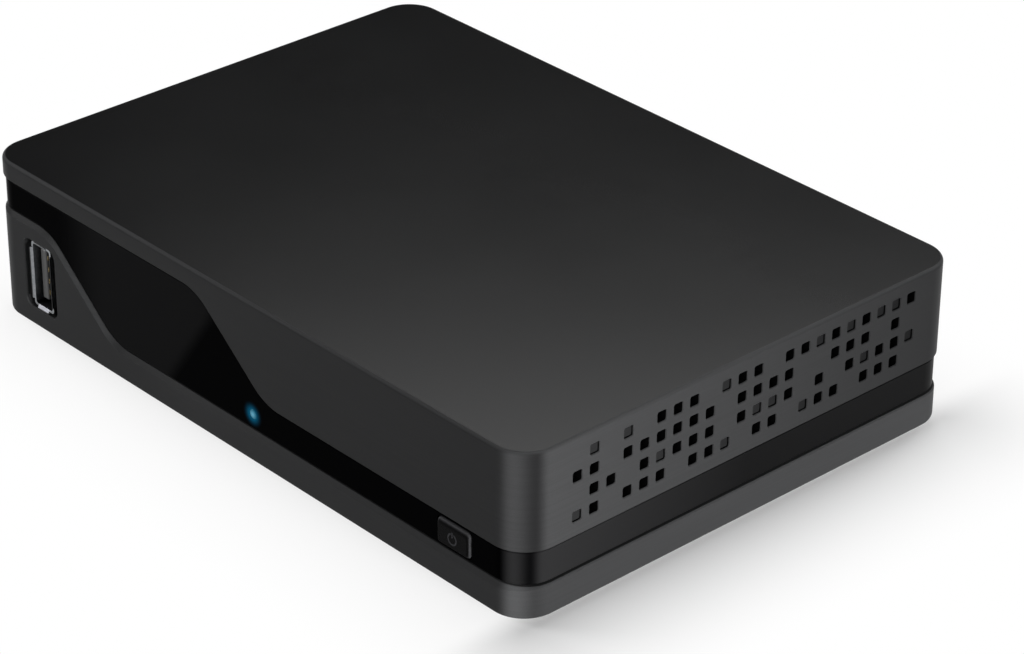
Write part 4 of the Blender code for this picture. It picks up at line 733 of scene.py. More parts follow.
def usb_contacts(low, high, middle):
    """Return the four flat contacts along the tongue's right face."""
    meshes = []
    for row in (-1.5, -0.5, 0.5, 1.5):
        z = middle.z + row * CONTACT_PITCH
        near = (high.x - CONTACT_PROUD, low.y + TONGUE_ROUND, z - CONTACT_WIDTH / 2)
        far = (high.x + CONTACT_PROUD, high.y, z + CONTACT_WIDTH / 2)
        meshes.append(block(near, far, CONTACT_PROUD / 2))
    return joined("usb_contacts", meshes)


tongue = measured("usb_port_tongue")[:3]
usb_tongue = piece("usb_tongue", tongue_bar(*tongue))
place(usb_metal(), "steel", "case", "usb_port_shell")
place(usb_tongue, "grey_plastic", "case", "usb_port_tongue")
place(piece("usb_contacts", usb_contacts(*tongue)), "brass", "case")

# %% [markdown]
# ## The button and the light
#
# The button is a small cap with a softly rounded top and right edge, a flange
# that keeps it in and a stem that pushes the switch.  The rounding is an
# ellipse, wide on top and narrow below: each loop is drawn in by a share of
# (1 - sine), at a depth of (1 - cosine).  The light is a clear pin whose end
# is a shallow dome in the band's face.

# %% Make the button and the light's pin
CAP_DRAW = {"left": 0.0003, "right": 0.0008, "low": 0.0003, "top": 0.0012}
CAP_DEPTH, CAP_STEPS = 0.0006, 7
CAP_FLANGE = 0.0012
CAP_STEM = 0.0015
DOME_RISE, DOME_START, DOME_STEPS = 0.0002, 0.05, 8
PIN_FLANGE = 0.0008


def button_cap():
    """Return the cap, its flange and its stem as three closed shapes in one mesh."""
    layers = []
    for angle in np.linspace(0, math.pi / 2, CAP_STEPS):
        drawn = {side: (1 - math.sin(angle)) * reach for side, reach in CAP_DRAW.items()}
        width = BUTTON_WIDTH - drawn["left"] - drawn["right"]
        height = BUTTON_HEIGHT - drawn["low"] - drawn["top"]
        shift = ((drawn["left"] - drawn["right"]) / 2, (drawn["low"] - drawn["top"]) / 2)
        outline = rounded_loop(width, height, BUTTON_CORNER) + shift
        layers.append((outline, CAP_DEPTH * (1 - math.cos(angle))))
    flange_at, end = ROOM_INSET + FIT_GAP, button_high.y - FRONT_Y
    layers.append((layers[-1][0], flange_at + CAP_FLANGE / 2))
    middle = (button_middle.x, FRONT_Y, button_middle.z)
    wide = rounded_loop(button_high.x - button_low.x, button_high.z - button_low.z, BUTTON_CORNER)
    stem = [(CAP_STEM, flange_at), (CAP_STEM, end - FIT_GAP), (CAP_STEM - FIT_GAP, end)]
    flange = bar(wide, flange_at, flange_at + CAP_FLANGE, middle)
    return joined("button_cap", [loft(layers, middle), flange, turned(stem, middle, "Y", 32)])


def light_pin():
    """Return the light's pin: a domed end, a shaft and the flange that stops it."""
    turn = np.linspace(DOME_START, math.pi / 2, DOME_STEPS)
    profile = list(zip(LIGHT_RADIUS * np.sin(turn), DOME_RISE * (1 - np.cos(turn))))
    flange_at = ROOM_INSET - BAND_RECESS + FIT_GAP
    profile += [(LIGHT_RADIUS, flange_at), (light_flange, flange_at)]
    profile += [(light_flange, flange_at + PIN_FLANGE), (LIGHT_RADIUS, flange_at + PIN_FLANGE)]
    profile.append((LIGHT_RADIUS, light_high.y - light_low.y))
    return turned(profile, (light_middle.x, light_low.y, light_middle.z), "Y", 40)


place(piece("button_cap", button_cap()), "button", "button", "power_button")
place(piece("light_pin", light_pin()), "status_light", "case", "status_light_pipe")

# %% [markdown]
# ## Feet and screws
#
# The feet are rubber discs with a rounded edge and a dished middle.  The
# screws have a flat head with a cross-shaped recess and a threaded shank.  The
# thread is one grid: the radius is the shank's radius plus a triangle wave of
# (height / pitch + angle / a full turn), which winds by itself.

# %% Turn the feet
FOOT_DISH, FOOT_DISH_SHARE, FOOT_RING_SHARE = 0.00025, 0.55, 0.62
FOOT_EDGE = 0.0005


def foot(node):
    """Return a foot: dish, flat ring, rounded edge and side."""
    low, high, middle, radius = measured(node)
    profile = [(radius * FOOT_DISH_SHARE, FOOT_DISH), (radius * FOOT_RING_SHARE, 0)]
    profile += [(radius - FOOT_EDGE + s, FOOT_EDGE - c) for s, c in quarter_round(FOOT_EDGE, 5)]
    profile.append((radius, high.z - low.z))
    return piece(node + "_rubber", turned(profile, (*middle[:2], low.z), "Z", 64))


for name in FOOT_NODES:
    place(foot(name), "rubber", "case", name)

# %% Turn the screws
HEAD_RADIUS, HEAD_EDGE = 0.0025, 0.0003
BOARD_HEAD_RADIUS, BOARD_HEAD_HEIGHT = 0.0022, 0.0014
THREAD_PITCH, THREAD_DEPTH, THREAD_ROWS = 0.0008, 0.00018, 6
CROSS_WIDTH, CROSS_LENGTH, CROSS_DEPTH = 0.0007, 0.0030, 0.0009


def threaded(radius, low, high, steps=20, pitch=THREAD_PITCH, depth=THREAD_DEPTH):
    """Return (radius, height) grids of a winding thread.

    The triangle wave is the distance of (height / pitch + angle / full turn)
    from the nearest whole number, doubled, so it goes from 0 to 1 and back.
    """
    heights = np.arange(low, high, pitch / THREAD_ROWS)
    angle = np.arange(steps) / steps
    phase = (heights[:, None] / pitch + angle[None]) % 1
    wave = 1 - np.abs(2 * phase - 1)
    fade = np.clip(np.minimum(heights - low, high - heights) / pitch, 0, 1)[:, None]
    return radius - depth * (1 - wave) * fade, heights


def swept_grid(radii, heights, centre, axis):
    """Return a closed shape from a grid of radii, one row for each height along the axis."""
    plan = radii[..., None] * circle_loop(1.0, radii.shape[1])[None]
    points = np.dstack((plan, np.broadcast_to(heights[:, None], radii.shape)))
    return grid_mesh("swept", points[..., AXIS_ORDERS[axis]] + np.array(centre))


def screw(node, head_radius, head_height, shank_radius, way):
    """Return a screw: way is 1 with its head below and -1 with its head above."""
    low, high, middle, _ = measured(node)
    start = Vector((middle.x, middle.y, low.z if way > 0 else high.z))
    head = [(head_radius - HEAD_EDGE, 0), (head_radius, way * HEAD_EDGE), (head_radius, way * head_height)]
    item = piece(node + "_steel", turned(head, start, "Z", 32))
    for width, depth in ((CROSS_WIDTH, CROSS_LENGTH), (CROSS_LENGTH, CROSS_WIDTH)):
        corner = Vector((width / 2, depth / 2, CROSS_DEPTH))
        combine(item, block(start - corner, start + corner, CROSS_WIDTH / 8))
    radii, heights = threaded(shank_radius, head_height, high.z - low.z)
    shank = swept_grid(radii, way * heights, start, "Z")
    head_mesh = item.data
    item.data = joined(item.name, [head_mesh.copy(), shank])
    bpy.data.meshes.remove(head_mesh)
    return item


for name in CASE_SCREWS:
    place(screw(name, HEAD_RADIUS, HEAD_HEIGHT, SHANK_RADIUS, 1), "steel", "case", name)
for name in BOARD_SCREWS:
    shapes = (BOARD_HEAD_RADIUS, BOARD_HEAD_HEIGHT, BOARD_SHANK_RADIUS, -1)
    place(screw(name, *shapes), "steel", "case", name)

# %% [markdown]
# ## The aerial socket
#
# A turned body with a flange, a winding outer thread, a soft nose and a bore
# with a white insulator in it.  Outside and bore are one grid of radii: the
# rows run out along the thread and back down the bore.

# %% Turn the aerial socket
AERIAL_RADIUS, AERIAL_FLANGE, AERIAL_STEPS = 0.00475, 0.0013, 64
AERIAL_BORE, AERIAL_BORE_DEPTH = 0.0032, 0.0070
AERIAL_PITCH, AERIAL_THREAD_DEPTH = 0.00079, 0.00036
AERIAL_NOSE = 0.0005
FUNNEL_MOUTH, FUNNEL_RING, FUNNEL_DEPTH = 0.0016, 0.0014, 0.0004
PIN_MOUTH, PIN_BORE = 0.0007, 0.0006


def aerial_body():
    """Return the aerial socket: flange, thread, nose and bore."""
    low, high, middle, wide = measured("aerial_socket")
    length = high.y - low.y
    stretch = (BACK_Y - low.y, length - AERIAL_NOSE)
    radii, heights = threaded(AERIAL_RADIUS, *stretch, AERIAL_STEPS, AERIAL_PITCH, AERIAL_THREAD_DEPTH)
    before = [(wide, 0), (wide, AERIAL_FLANGE - HEAD_EDGE), (wide - HEAD_EDGE, AERIAL_FLANGE)]
    before.append((AERIAL_RADIUS, AERIAL_FLANGE))
    after = [(AERIAL_RADIUS - AERIAL_NOSE / 4, length - AERIAL_NOSE / 2)]
    after += [(AERIAL_RADIUS - AERIAL_NOSE, length), (AERIAL_BORE + HEAD_EDGE, length)]
    after += [(AERIAL_BORE, length - HEAD_EDGE), (AERIAL_BORE, length - AERIAL_BORE_DEPTH)]
    grids = [np.full((1, AERIAL_STEPS), radius) for radius, _ in before + after]
    grids.insert(len(before), radii)
    levels = np.concatenate(([h for _, h in before], heights, [h for _, h in after]))
    return swept_grid(np.vstack(grids), levels, (middle.x, low.y, middle.z), "Y")


def aerial_core():
    """Return the insulator: a disc with a rounded rim and a funnel to the hole for the plug's pin."""
    low, high, middle, radius = measured("aerial_insulator")
    length = high.y - low.y
    profile = [(radius, 0), (radius, length - HEAD_EDGE), (radius - HEAD_EDGE, length)]
    profile += [(FUNNEL_MOUTH, length), (FUNNEL_RING, length - FUNNEL_DEPTH)]
    profile += [(PIN_MOUTH, length - FUNNEL_DEPTH), (PIN_BORE, length / 2)]
    return turned(profile, (middle.x, low.y, middle.z), "Y", 40)


place(piece("aerial_body", aerial_body()), "steel", "case", "aerial_socket")
place(piece("aerial_core", aerial_core()), "white_plastic", "case", "aerial_insulator")

# %% [markdown]
# ## Everything else
#
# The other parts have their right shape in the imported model, but its edges
# are sharp and its points are split.  A soft copy joins the points, merges
# flat neighbours into one face and rounds every edge a little, so that light
# runs along it as on a moulded or pressed part.

# %% Make soft copies of the other nodes
SOFT_EDGE = 0.00012
MERGE_REACH = 1e-6
FLAT_ANGLE = math.radians(0.5)
EDGE_ANGLE = math.radians(28)


def soft_copy(node):
    """Return a copy of a node with joined points and rounded edges."""
    mesh = bpy.data.objects[node].data.copy()
    if "custom_normal" in mesh.attributes:
        mesh.attributes.remove(mesh.attributes["custom_normal"])
    shape = bmesh.new()
    shape.from_mesh(mesh)
    bmesh.ops.remove_doubles(shape, verts=shape.verts, dist=MERGE_REACH)
    bmesh.ops.dissolve_limit(shape, angle_limit=FLAT_ANGLE, verts=shape.verts, edges=shape.edges)
    shape.to_mesh(mesh)
    shape.free()
    item = piece(node + "_soft", mesh)
    edge = item.modifiers.new("edge", "BEVEL")
    edge.width = SOFT_EDGE
    edge.segments = 2
    edge.limit_method = "ANGLE"
    edge.angle_limit = EDGE_ANGLE
    edge.use_clamp_overlap = True
    return item


left_over = [part for part in frame["record"]["subparts"] if part["node"] not in DRESSED_NODES]
for part in left_over:
    body = "plunger" if part["node"] == "power_switch_plunger" else "case"
    place(soft_copy(part["node"]), part["material_slot"], body, part["node"])
print(len(left_over), "soft copies")

# %% [markdown]
# ## The camera
#
# A long lens looks down on the near corner.  The camera was fitted once to
# the outline of the box, so its place, angles and lens are known sizes.

# %% Set up the camera
CAMERA_PLACE = Vector((0.43181, -0.38596, 0.33310))
CAMERA_YAW = 0.8310
CAMERA_PITCH = 0.5150
CAMERA_ROLL = 0.0073


def camera_axes():
    """Return the camera's right, up and back directions as a turning matrix."""
    outward = math.cos(CAMERA_PITCH)
    back = Vector((math.sin(CAMERA_YAW) * outward, -math.cos(CAMERA_YAW) * outward, math.sin(CAMERA_PITCH)))
    right = Vector((math.cos(CAMERA_YAW), math.sin(CAMERA_YAW), 0))
    up = back.cross(right)
    level, lean = math.cos(CAMERA_ROLL), math.sin(CAMERA_ROLL)
    return Matrix((level * right + lean * up, level * up - lean * right, back)).transposed()


view = bpy.data.cameras.new("camera")
view.lens = 126.8
view.sensor_width = 36.0
view.sensor_fit = "HORIZONTAL"
view.clip_start = 0.01
camera = piece("camera", view)
camera.matrix_world = Matrix.Translation(CAMERA_PLACE) @ camera_axes().to_4x4()
bpy.context.scene.camera = camera
bpy.context.scene.view_settings.view_transform = "Standard"
print("camera looks from", tuple(round(v, 3) for v in CAMERA_PLACE))

# %% [markdown]
# ## Floor and light
#
# The box stands on a plain white floor, which also gives the white ground.
# Soft lamps stand low round it: the strongest on the right brightens the side
# wall, and weaker ones light the corner, the left, the rear and the front.
# A wide one hangs higher up behind the box, and its mirror image lays the long
# gradient over the top.  Only that one and the small front lamp show in
# reflections, so that the gloss isn't blown out in low views.  The strengths
# were fitted to the greys of the photograph, one for each direction.

# %% Lay the floor and hang the lamps
FLOOR_SIZE = 3.0
FLOOR_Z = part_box("foot_front_left")[0].z
LAMPS = {
    "right_lamp": (84, 5, 1.1, (0.42, 0.30), 31.0),
    "rear_right_lamp": (135, 6, 1.1, (0.40, 0.30), 3.0),
    "corner_lamp": (30, 8, 1.0, (0.30, 0.25), 2.8),
    "left_lamp": (270, 8, 1.1, (0.34, 0.34), 14.0),
    "rear_lamp": (190, 8, 1.1, (0.34, 0.30), 10.0),
    "front_lamp": (312, 20, 0.5, (0.16, 0.16), 1.3),
    "top_lamp": (219, 41, 1.1, (0.62, 0.26), 3.2),
}
MIRRORED_LAMPS = ("front_lamp", "top_lamp")


def make_floor():
    """Return the floor: a square sheet through the surface that the feet stand on."""
    half = FLOOR_SIZE / 2
    corners = [(x * half, y * half, FLOOR_Z) for x, y in ((-1, -1), (1, -1), (1, 1), (-1, 1))]
    mesh = bpy.data.meshes.new("floor")
    mesh.from_pydata(corners, [], [(0, 1, 2, 3)])
    return piece("floor", mesh)


def hang_lamp(name, azimuth, height, distance, size, watts):
    """Hang a rectangular lamp at an azimuth and a height in degrees, turned to the box.

    Azimuth 0 is in front of the box and 90 is on its right.
    """
    lamp = bpy.data.lights.new(name, "AREA")
    lamp.shape = "RECTANGLE"
    lamp.size, lamp.size_y = size
    lamp.energy = watts
    item = piece(name, lamp)
    around, up = math.radians(azimuth), math.radians(height)
    way = Vector((math.sin(around) * math.cos(up), -math.cos(around) * math.cos(up), math.sin(up)))
    item.location = way * distance
    item.rotation_euler = (-way).to_track_quat("-Z", "Y").to_euler()
    item.visible_glossy = name in MIRRORED_LAMPS


floor = make_floor()
for name, settings in LAMPS.items():
    hang_lamp(name, *settings)
world = bpy.data.worlds.new("sky")
bpy.context.scene.world = world
world.use_nodes = True
world.node_tree.nodes["Background"].inputs["Strength"].default_value = 0.0
print("lamps:", sorted(LAMPS))

# %% [markdown]
# ## Finishes
#
# A finish is a small network of nodes round one shader.  Each node's output is
# kept as a term that can be added, multiplied and compared, so that a pattern
# reads as its formula.  Patterns use noise on Object coordinates, so nothing
# slides when the camera moves.  A noise that is stretched along x and y and
# fine in z gives the level streaks of brushed walls.

# %% Reckon with the values of nodes
class Term:
    """A value that changes over a surface, reckoned with like a number: each step adds a node."""

    def __init__(self, finish, socket):
        self.finish = finish
        self.socket = socket

    def reckon(self, operation, *others):
        """Return the result of an operation on this term and on numbers or terms."""
        return self.finish.term("Math", dict(enumerate((self, *others))), operation=operation)

    __add__ = partialmethod(reckon, "ADD")
    __sub__ = partialmethod(reckon, "SUBTRACT")
    __mul__ = partialmethod(reckon, "MULTIPLY")
    __pow__ = partialmethod(reckon, "POWER")
    __abs__ = partialmethod(reckon, "ABSOLUTE")
    most = partialmethod(reckon, "MAXIMUM")
    least = partialmethod(reckon, "MINIMUM")
    root = partialmethod(reckon, "SQRT")

    def __rsub__(self, number):
        return self.finish.term("Math", {0: number, 1: self}, operation="SUBTRACT")

    def ramp(self, low, high, bottom=0.0, top=1.0, soft=True):
        """Return this term taken from low..high to bottom..top, with soft ends."""
        inputs = {"Value": self, "From Min": low, "From Max": high, "To Min": bottom, "To Max": top}
        kind = "SMOOTHSTEP" if soft else "LINEAR"
        return self.finish.term("MapRange", inputs, "Result", interpolation_type=kind)

    def falling(self, low, high):
        """Return 1 below low, 0 above high and a soft fall between them."""
        return self.ramp(low, high, 1.0, 0.0)

    def curve(self, knots):
        """Return the height of a curve at this term.  A knot is a place from 0 to 1 and a height."""
        fresh = self.finish.add("ValToRGB", {0: self})
        points = fresh.color_ramp.elements
        fresh.color_ramp.interpolation = "EASE"
        for place, _ in knots[1:-1]:
            points.new(place)
        for point, (place, height) in zip(points, knots):
            point.position = place
            point.color = (height, height, height, 1)
        return Term(self.finish, fresh.outputs["Color"])

    def mix(self, first, second):
        """Return the number this far between two numbers or terms."""
        return self.finish.term("Mix", {0: self, 2: first, 3: second}, data_type="FLOAT")

    def blend(self, first, second):
        """Return the colour this far between two colours or terms."""
        inks = [ink if isinstance(ink, Term) else (*ink, 1) for ink in (first, second)]
        return self.finish.term("Mix", {0: self, 6: inks[0], 7: inks[1]}, 2, data_type="RGBA")


# %% Write a finish as a small class
NOISE_RANGE = (0.3, 0.7)
FINISHES = {}


class Finish:
    """A material that is being put together: its nodes, its links and its shader."""

    def __init__(self, name, colour, roughness, metallic=0.0, specular=0.5):
        self.material = bpy.data.materials.new(name)
        self.material.use_nodes = True
        self.tree = self.material.node_tree
        self.shader = self.tree.nodes["Principled BSDF"]
        self.set("Base Color", (*colour, 1))
        self.set("Roughness", roughness)
        self.set("Metallic", metallic)
        self.set("Specular IOR Level", specular)
        self.place = self.term("TexCoord", {}, "Object")
        self.x, self.y, self.z = self.parts(self.place)

    def plug(self, node, key, value):
        """Set a node's input to a plain value, or feed it from a term."""
        if isinstance(value, Term):
            self.tree.links.new(value.socket, node.inputs[key])
        else:
            node.inputs[key].default_value = value

    def set(self, key, value):
        """Set or feed one of the shader's inputs."""
        self.plug(self.shader, key, value)

    def add(self, kind, inputs, **settings):
        """Add a node and return it."""
        fresh = self.tree.nodes.new("ShaderNode" + kind)
        for key, value in settings.items():
            setattr(fresh, key, value)
        for key, value in inputs.items():
            self.plug(fresh, key, value)
        return fresh

    def term(self, kind, inputs, output=0, **settings):
        """Add a node and return one of its outputs."""
        return Term(self, self.add(kind, inputs, **settings).outputs[output])

    def parts(self, vector):
        """Return the x, y and z of a vector."""
        return [Term(self, socket) for socket in self.add("SeparateXYZ", {0: vector}).outputs]

    def facing(self):
        """Return the surface's own direction in x, y and z."""
        return self.parts(self.term("NewGeometry", {}, "True Normal"))

    def distance(self, place):
        """Return the distance from a place."""
        return self.term("VectorMath", {0: self.place, 1: place}, "Value", operation="DISTANCE")

    def noise(self, frequency, detail=2.0):
        """Return a noise from 0 to 1 with a frequency per metre in x, y and z."""
        scaled = self.term("Mapping", {"Vector": self.place, "Scale": frequency})
        return self.term("TexNoise", {"Vector": scaled, "Scale": 1.0, "Detail": detail}, "Fac")

    def bump(self, height, distance):
        """Raise the surface by a height from 0 to 1 times a distance in metres."""
        inputs = {"Height": height, "Distance": distance, "Strength": 1.0}
        self.set("Normal", self.term("Bump", inputs, "Normal"))


def grained(name, dark, light, rough, grain, bump=0.0, metallic=0.0, specular=0.5):
    """Return a finish whose colour and roughness follow one stretched noise."""
    finish = Finish(name, light, rough[0], metallic, specular)
    noise = finish.noise(grain)
    finish.set("Base Color", noise.ramp(*NOISE_RANGE).blend(dark, light))
    finish.set("Roughness", noise.ramp(*NOISE_RANGE, *rough))
    if bump:
        finish.bump(noise, bump)
    return finish


def keep(name, finish):
    """Keep a finish under a name and print how many nodes it took."""
    FINISHES[name] = finish
    print(name, "finish has", len(finish.tree.nodes), "nodes")


# %% [markdown]
# ## The shells' finish
#
# The shells are near-black plastic.  A few soft lamps can't draw all the light
# and shade, so much of the grey is painted into the colour, with a factor that
# changes with the place: painted highlights and shade in upright streaks round
# the near corner, painted shade that falls along the right side, a painted
# brighter strip low down, painted shade on the walls inside the vents, a painted
# highlight on the chamfer of the slope and on the rounded edge of the top, and a
# painted darker top.  The sheen of the top grows towards the right.

# %% Find the painted light and shade at each place on the shells
CURVE_SCALE = 4.0
# Painted highlight and shade in upright streaks round the near corner, a painted brighter strip low down,
# and painted shade that falls along the right side.
WALL_PAINTED_SHEEN = ((0.0, 0.25), (0.08, 0.25), (0.30, 0.49), (0.70, 0.16), (0.93, 0.43))
STRIP_PAINTED_LIGHT = ((0.0, 0.31), (0.08, 0.31), (0.33, 0.76), (0.72, 0.31), (0.94, 0.35))
STRIP_EDGE = (BASE_Z + 0.0070, BASE_Z + 0.0075)
STRIP_START = (-0.0400, -0.0100)
SIDE_PAINTED_SHADE = 0.34
# Painted shade inside the vents, on their walls and on the floors of the blind ones.
VENT_WALL_SHADE, VENT_FLOOR_SHADE = 0.10, 0.45
VENT_FACING = (0.5, 0.9)
# A painted highlight along the sloping chamfer of the lower shell.
CHAMFER_TOP, CHAMFER_HIGHLIGHT = BASE_Z + 0.0225, 1.9
CHAMFER_FORWARD, CHAMFER_SLOPING = (-0.3, -0.5), (0.1, 0.3)


def corner_turn(finish):
    """Return the turn round the front right corner: 0 on the front, 1 on the right side."""
    across = (finish.x - (RIGHT_X - CORNER_RADIUS)).most(0.0)
    along = (FRONT_Y + CORNER_RADIUS - finish.y).most(0.0)
    return across.reckon("ARCTAN2", along) * (2 / math.pi)


def painted_wall_light(finish):
    """Return the painted light of the walls: painted highlight and shade in upright streaks at the corner,
    a painted brighter strip low down and painted shade falling along the side.
    """
    turn = corner_turn(finish)
    # The painted brighter strip low down on the front and round the near corner.
    low = finish.z.falling(*STRIP_EDGE) * finish.x.ramp(*STRIP_START)
    fall = finish.y.ramp(FRONT_Y, BACK_Y, 1.0, SIDE_PAINTED_SHADE, False).most(low)
    painted_light = low.mix(turn.curve(WALL_PAINTED_SHEEN) * fall, turn.curve(STRIP_PAINTED_LIGHT)) * CURVE_SCALE
    return finish.y.ramp(BACK_Y - CORNER_RADIUS, BACK_Y).mix(painted_light, 1.0)


def painted_vent_shade(finish):
    """Return the painted shade inside the vents: dark on their walls, half dark on the floors of the blind
    ones.
    """
    half_y, half_z = ((count - 1) * VENT_PITCH / 2 for count in (len(VENT_ROWS[0]), len(VENT_ROWS)))
    drop = VENT_TOP_DROP + half_z
    level = finish.x.reckon("GREATER_THAN", 0.0).mix(BASE_Z + drop, TOP_Z - drop)
    inside = (RIGHT_X - abs(finish.x)).ramp(VENT_RIM, 2 * VENT_RIM)
    inside *= finish.y.reckon("COMPARE", FRONT_Y + VENT_START + half_y, half_y + VENT_SIZE)
    inside *= finish.z.reckon("COMPARE", level, half_z + VENT_SIZE)
    return inside.mix(1.0, abs(finish.facing()[0]).ramp(*VENT_FACING, VENT_WALL_SHADE, VENT_FLOOR_SHADE))


def painted_chamfer_highlight(finish):
    """Return the painted highlight on the sloping chamfer of the lower shell, whose faces look forward and
    up.
    """
    right, back, up = finish.facing()
    left = finish.z.reckon("LESS_THAN", CHAMFER_TOP) * finish.x.reckon("LESS_THAN", 0.0)
    sloping = back.ramp(*CHAMFER_FORWARD) * right.ramp(*CHAMFER_SLOPING) * up.ramp(*CHAMFER_SLOPING)
    return (left * sloping).mix(1.0, CHAMFER_HIGHLIGHT)


print("the strip's edge lies between", *(round(z, 4) for z in STRIP_EDGE))

# %% Mix the shells' finish
SHELL_DARK, SHELL_LIGHT = (0.0165, 0.0167, 0.0171), (0.0185, 0.0187, 0.0192)
STREAKS, GRAIN = (30.0, 30.0, 3200.0), (5000.0, 5000.0, 5000.0)
STREAK_SHARE = 0.6
BOTH_RANGE = (0.35, 0.65)
WALL_ROUGH, TOP_ROUGH = (0.37, 0.43), (0.20, 0.216)
WALL_SPECULAR, TOP_SPECULAR = 0.02, (0.0355, 0.0820)
TOP_ACROSS, TOP_ENDS = (0.674, 0.738), (-0.045, 0.085)
TOP_FACE = (TOP_Z - TOP_ROUND / 40, TOP_Z - TOP_ROUND / 200)
# The top is painted darker, and the rounded edge of the top carries a painted highlight, a little stronger
# on the front than on the right side.
TOP_PAINTED_SHADE, EDGE_HIGHLIGHT, EDGE_POWER = 0.58, (2.7, 2.2), 3.0
SHELL_BUMP, LEVEL = 0.000007, 0.5


def shell_finish():
    """Return the shells' finish: level streaks and fine grain, painted light and shade by place, and a
    smoother top without bump.
    """
    finish = Finish("shell_plastic", SHELL_DARK, WALL_ROUGH[0], 0.0, WALL_SPECULAR)
    both = finish.noise(STREAKS, 3.0) * STREAK_SHARE + finish.noise(GRAIN, 1.0) * (1 - STREAK_SHARE)
    # The vents' factor is painted shade inside the vents; it also dims their specular.
    on_top, vents = finish.z.ramp(*TOP_FACE), painted_vent_shade(finish)
    # A painted highlight rises towards the rounded edge of the top.
    rise = finish.z.ramp(TOP_Z - TOP_ROUND, TOP_Z) ** EDGE_POWER
    walls = rise.mix(painted_wall_light(finish), corner_turn(finish).mix(*EDGE_HIGHLIGHT))
    painted_light = on_top.mix(walls, TOP_PAINTED_SHADE) * vents * painted_chamfer_highlight(finish)
    colour = both.ramp(*BOTH_RANGE).blend(SHELL_DARK, SHELL_LIGHT)
    finish.set("Base Color", finish.term("VectorMath", {0: colour, 3: painted_light}, operation="SCALE"))
    across = finish.x * TOP_ACROSS[0] + finish.y * TOP_ACROSS[1]
    top_specular = across.ramp(*TOP_ENDS, *TOP_SPECULAR, False)
    finish.set("Specular IOR Level", vents * on_top.mix(WALL_SPECULAR, top_specular))
    rough = [both.ramp(*BOTH_RANGE, *ends) for ends in (WALL_ROUGH, TOP_ROUGH)]
    finish.set("Roughness", on_top.mix(*rough))
    finish.bump(on_top.mix(both, LEVEL), SHELL_BUMP)
    return finish


keep("shell", shell_finish())

# %% [markdown]
# ## The band's finish
#
# The band lets infrared light through.  Its front is almost black with a
# faint grey painted reflection on it, its sides are satin and painted lighter
# near the front and darker towards the back, with painted highlight and shade
# in streaks at the near corner as on the shells, and the light's glow spreads
# in it.

# %% Mix the band's finish
# The grey field on the band's front is a painted reflection; the black is the band's own colour.
REFLECTION_GREY, FIELD_BLACK = (0.0050, 0.0050, 0.0052), (0.0002, 0.0002, 0.0003)
# The sides' colour is painted light: lighter near the front, darker towards the back, with painted
# highlight and shade in streaks round the near corner.
SIDE_PAINTED_NEAR, SIDE_PAINTED_FAR = (0.0132, 0.0132, 0.0136), (0.0034, 0.0034, 0.0035)
BAND_PAINTED_STREAKS = ((0.0, 0.0), (0.08, 0.0), (0.33, 1.0), (0.63, 0.12), (0.85, 0.95))
BAND_LEFT = (LEFT_X + 0.0045, LEFT_X + 0.0010)
FIELD_LEFT = (LEFT_X + 0.0200, LEFT_X + 0.0350)
FIELD_EDGE_X, FIELD_EDGE_Z = LEFT_X + 0.0528, BASE_Z + 0.0064
FIELD_EDGE_SLOPE, FIELD_SOFT = 0.715, 0.0022
FRONT_HALF = (0.0, -0.001)
BAND_GRAIN, BAND_GRAIN_DEPTH = (900.0, 900.0, 2600.0), 0.06
BAND_ROUGH, BAND_SPECULAR = (0.12, 0.34), (0.003, 0.02)
GLOW_RADIUS, GLOW_STRENGTH, GLOW_COLOUR = 0.0030, 0.4, (0.01, 0.32, 0.62)
LIGHT_PLACE = (light_middle.x, light_low.y, light_middle.z)


def band_finish():
    """Return the band's finish, which changes with the place.

    The painted reflection's right edge is a slanting line: its x grows with z.
    The glow is the distance from the light, taken from its radius down to 0 and
    squared.
    """
    finish = Finish("band_gloss", FIELD_BLACK, BAND_ROUGH[0], 0.0, BAND_SPECULAR[1])
    x, y, z = finish.x, finish.y, finish.z
    side = x.ramp(*BAND_LEFT).most(corner_turn(finish).curve(BAND_PAINTED_STREAKS))
    slanted = x - (z - FIELD_EDGE_Z) * FIELD_EDGE_SLOPE
    right = slanted.falling(FIELD_EDGE_X - FIELD_SOFT, FIELD_EDGE_X + FIELD_SOFT)
    # A painted reflection on the front, with a slanting right edge.
    field = x.ramp(*FIELD_LEFT) * right * y.ramp(*FRONT_HALF)
    # Painted light on the sides: lighter near the front and darker towards the back.
    satin = y.ramp(FRONT_Y, MIDDLE_Y, 0.0, 1.0, False).blend(SIDE_PAINTED_NEAR, SIDE_PAINTED_FAR)
    finish.set("Base Color", side.blend(field.blend(FIELD_BLACK, REFLECTION_GREY), satin))
    finish.set("Roughness", finish.noise(BAND_GRAIN) * BAND_GRAIN_DEPTH + side.ramp(0.0, 1.0, *BAND_ROUGH))
    finish.set("Specular IOR Level", side.ramp(0.0, 1.0, *BAND_SPECULAR))
    glow = finish.distance(LIGHT_PLACE).ramp(GLOW_RADIUS, 0.0) ** 2.0
    finish.set("Emission Color", (*GLOW_COLOUR, 1))
    finish.set("Emission Strength", glow * GLOW_STRENGTH)
    return finish


keep("gloss_band", band_finish())

# %% [markdown]
# ## The finishes of the button and the light
#
# The button is a satin cap with a painted highlight on its rounded rim and a
# faint mark on its face: a ring round the face's middle, open at the top, and
# a bar in the opening.  Both are read from distances, so the mark's soft edges
# have their own width and need no image.
# The light glows pale blue in its middle and deeper blue at its rim.

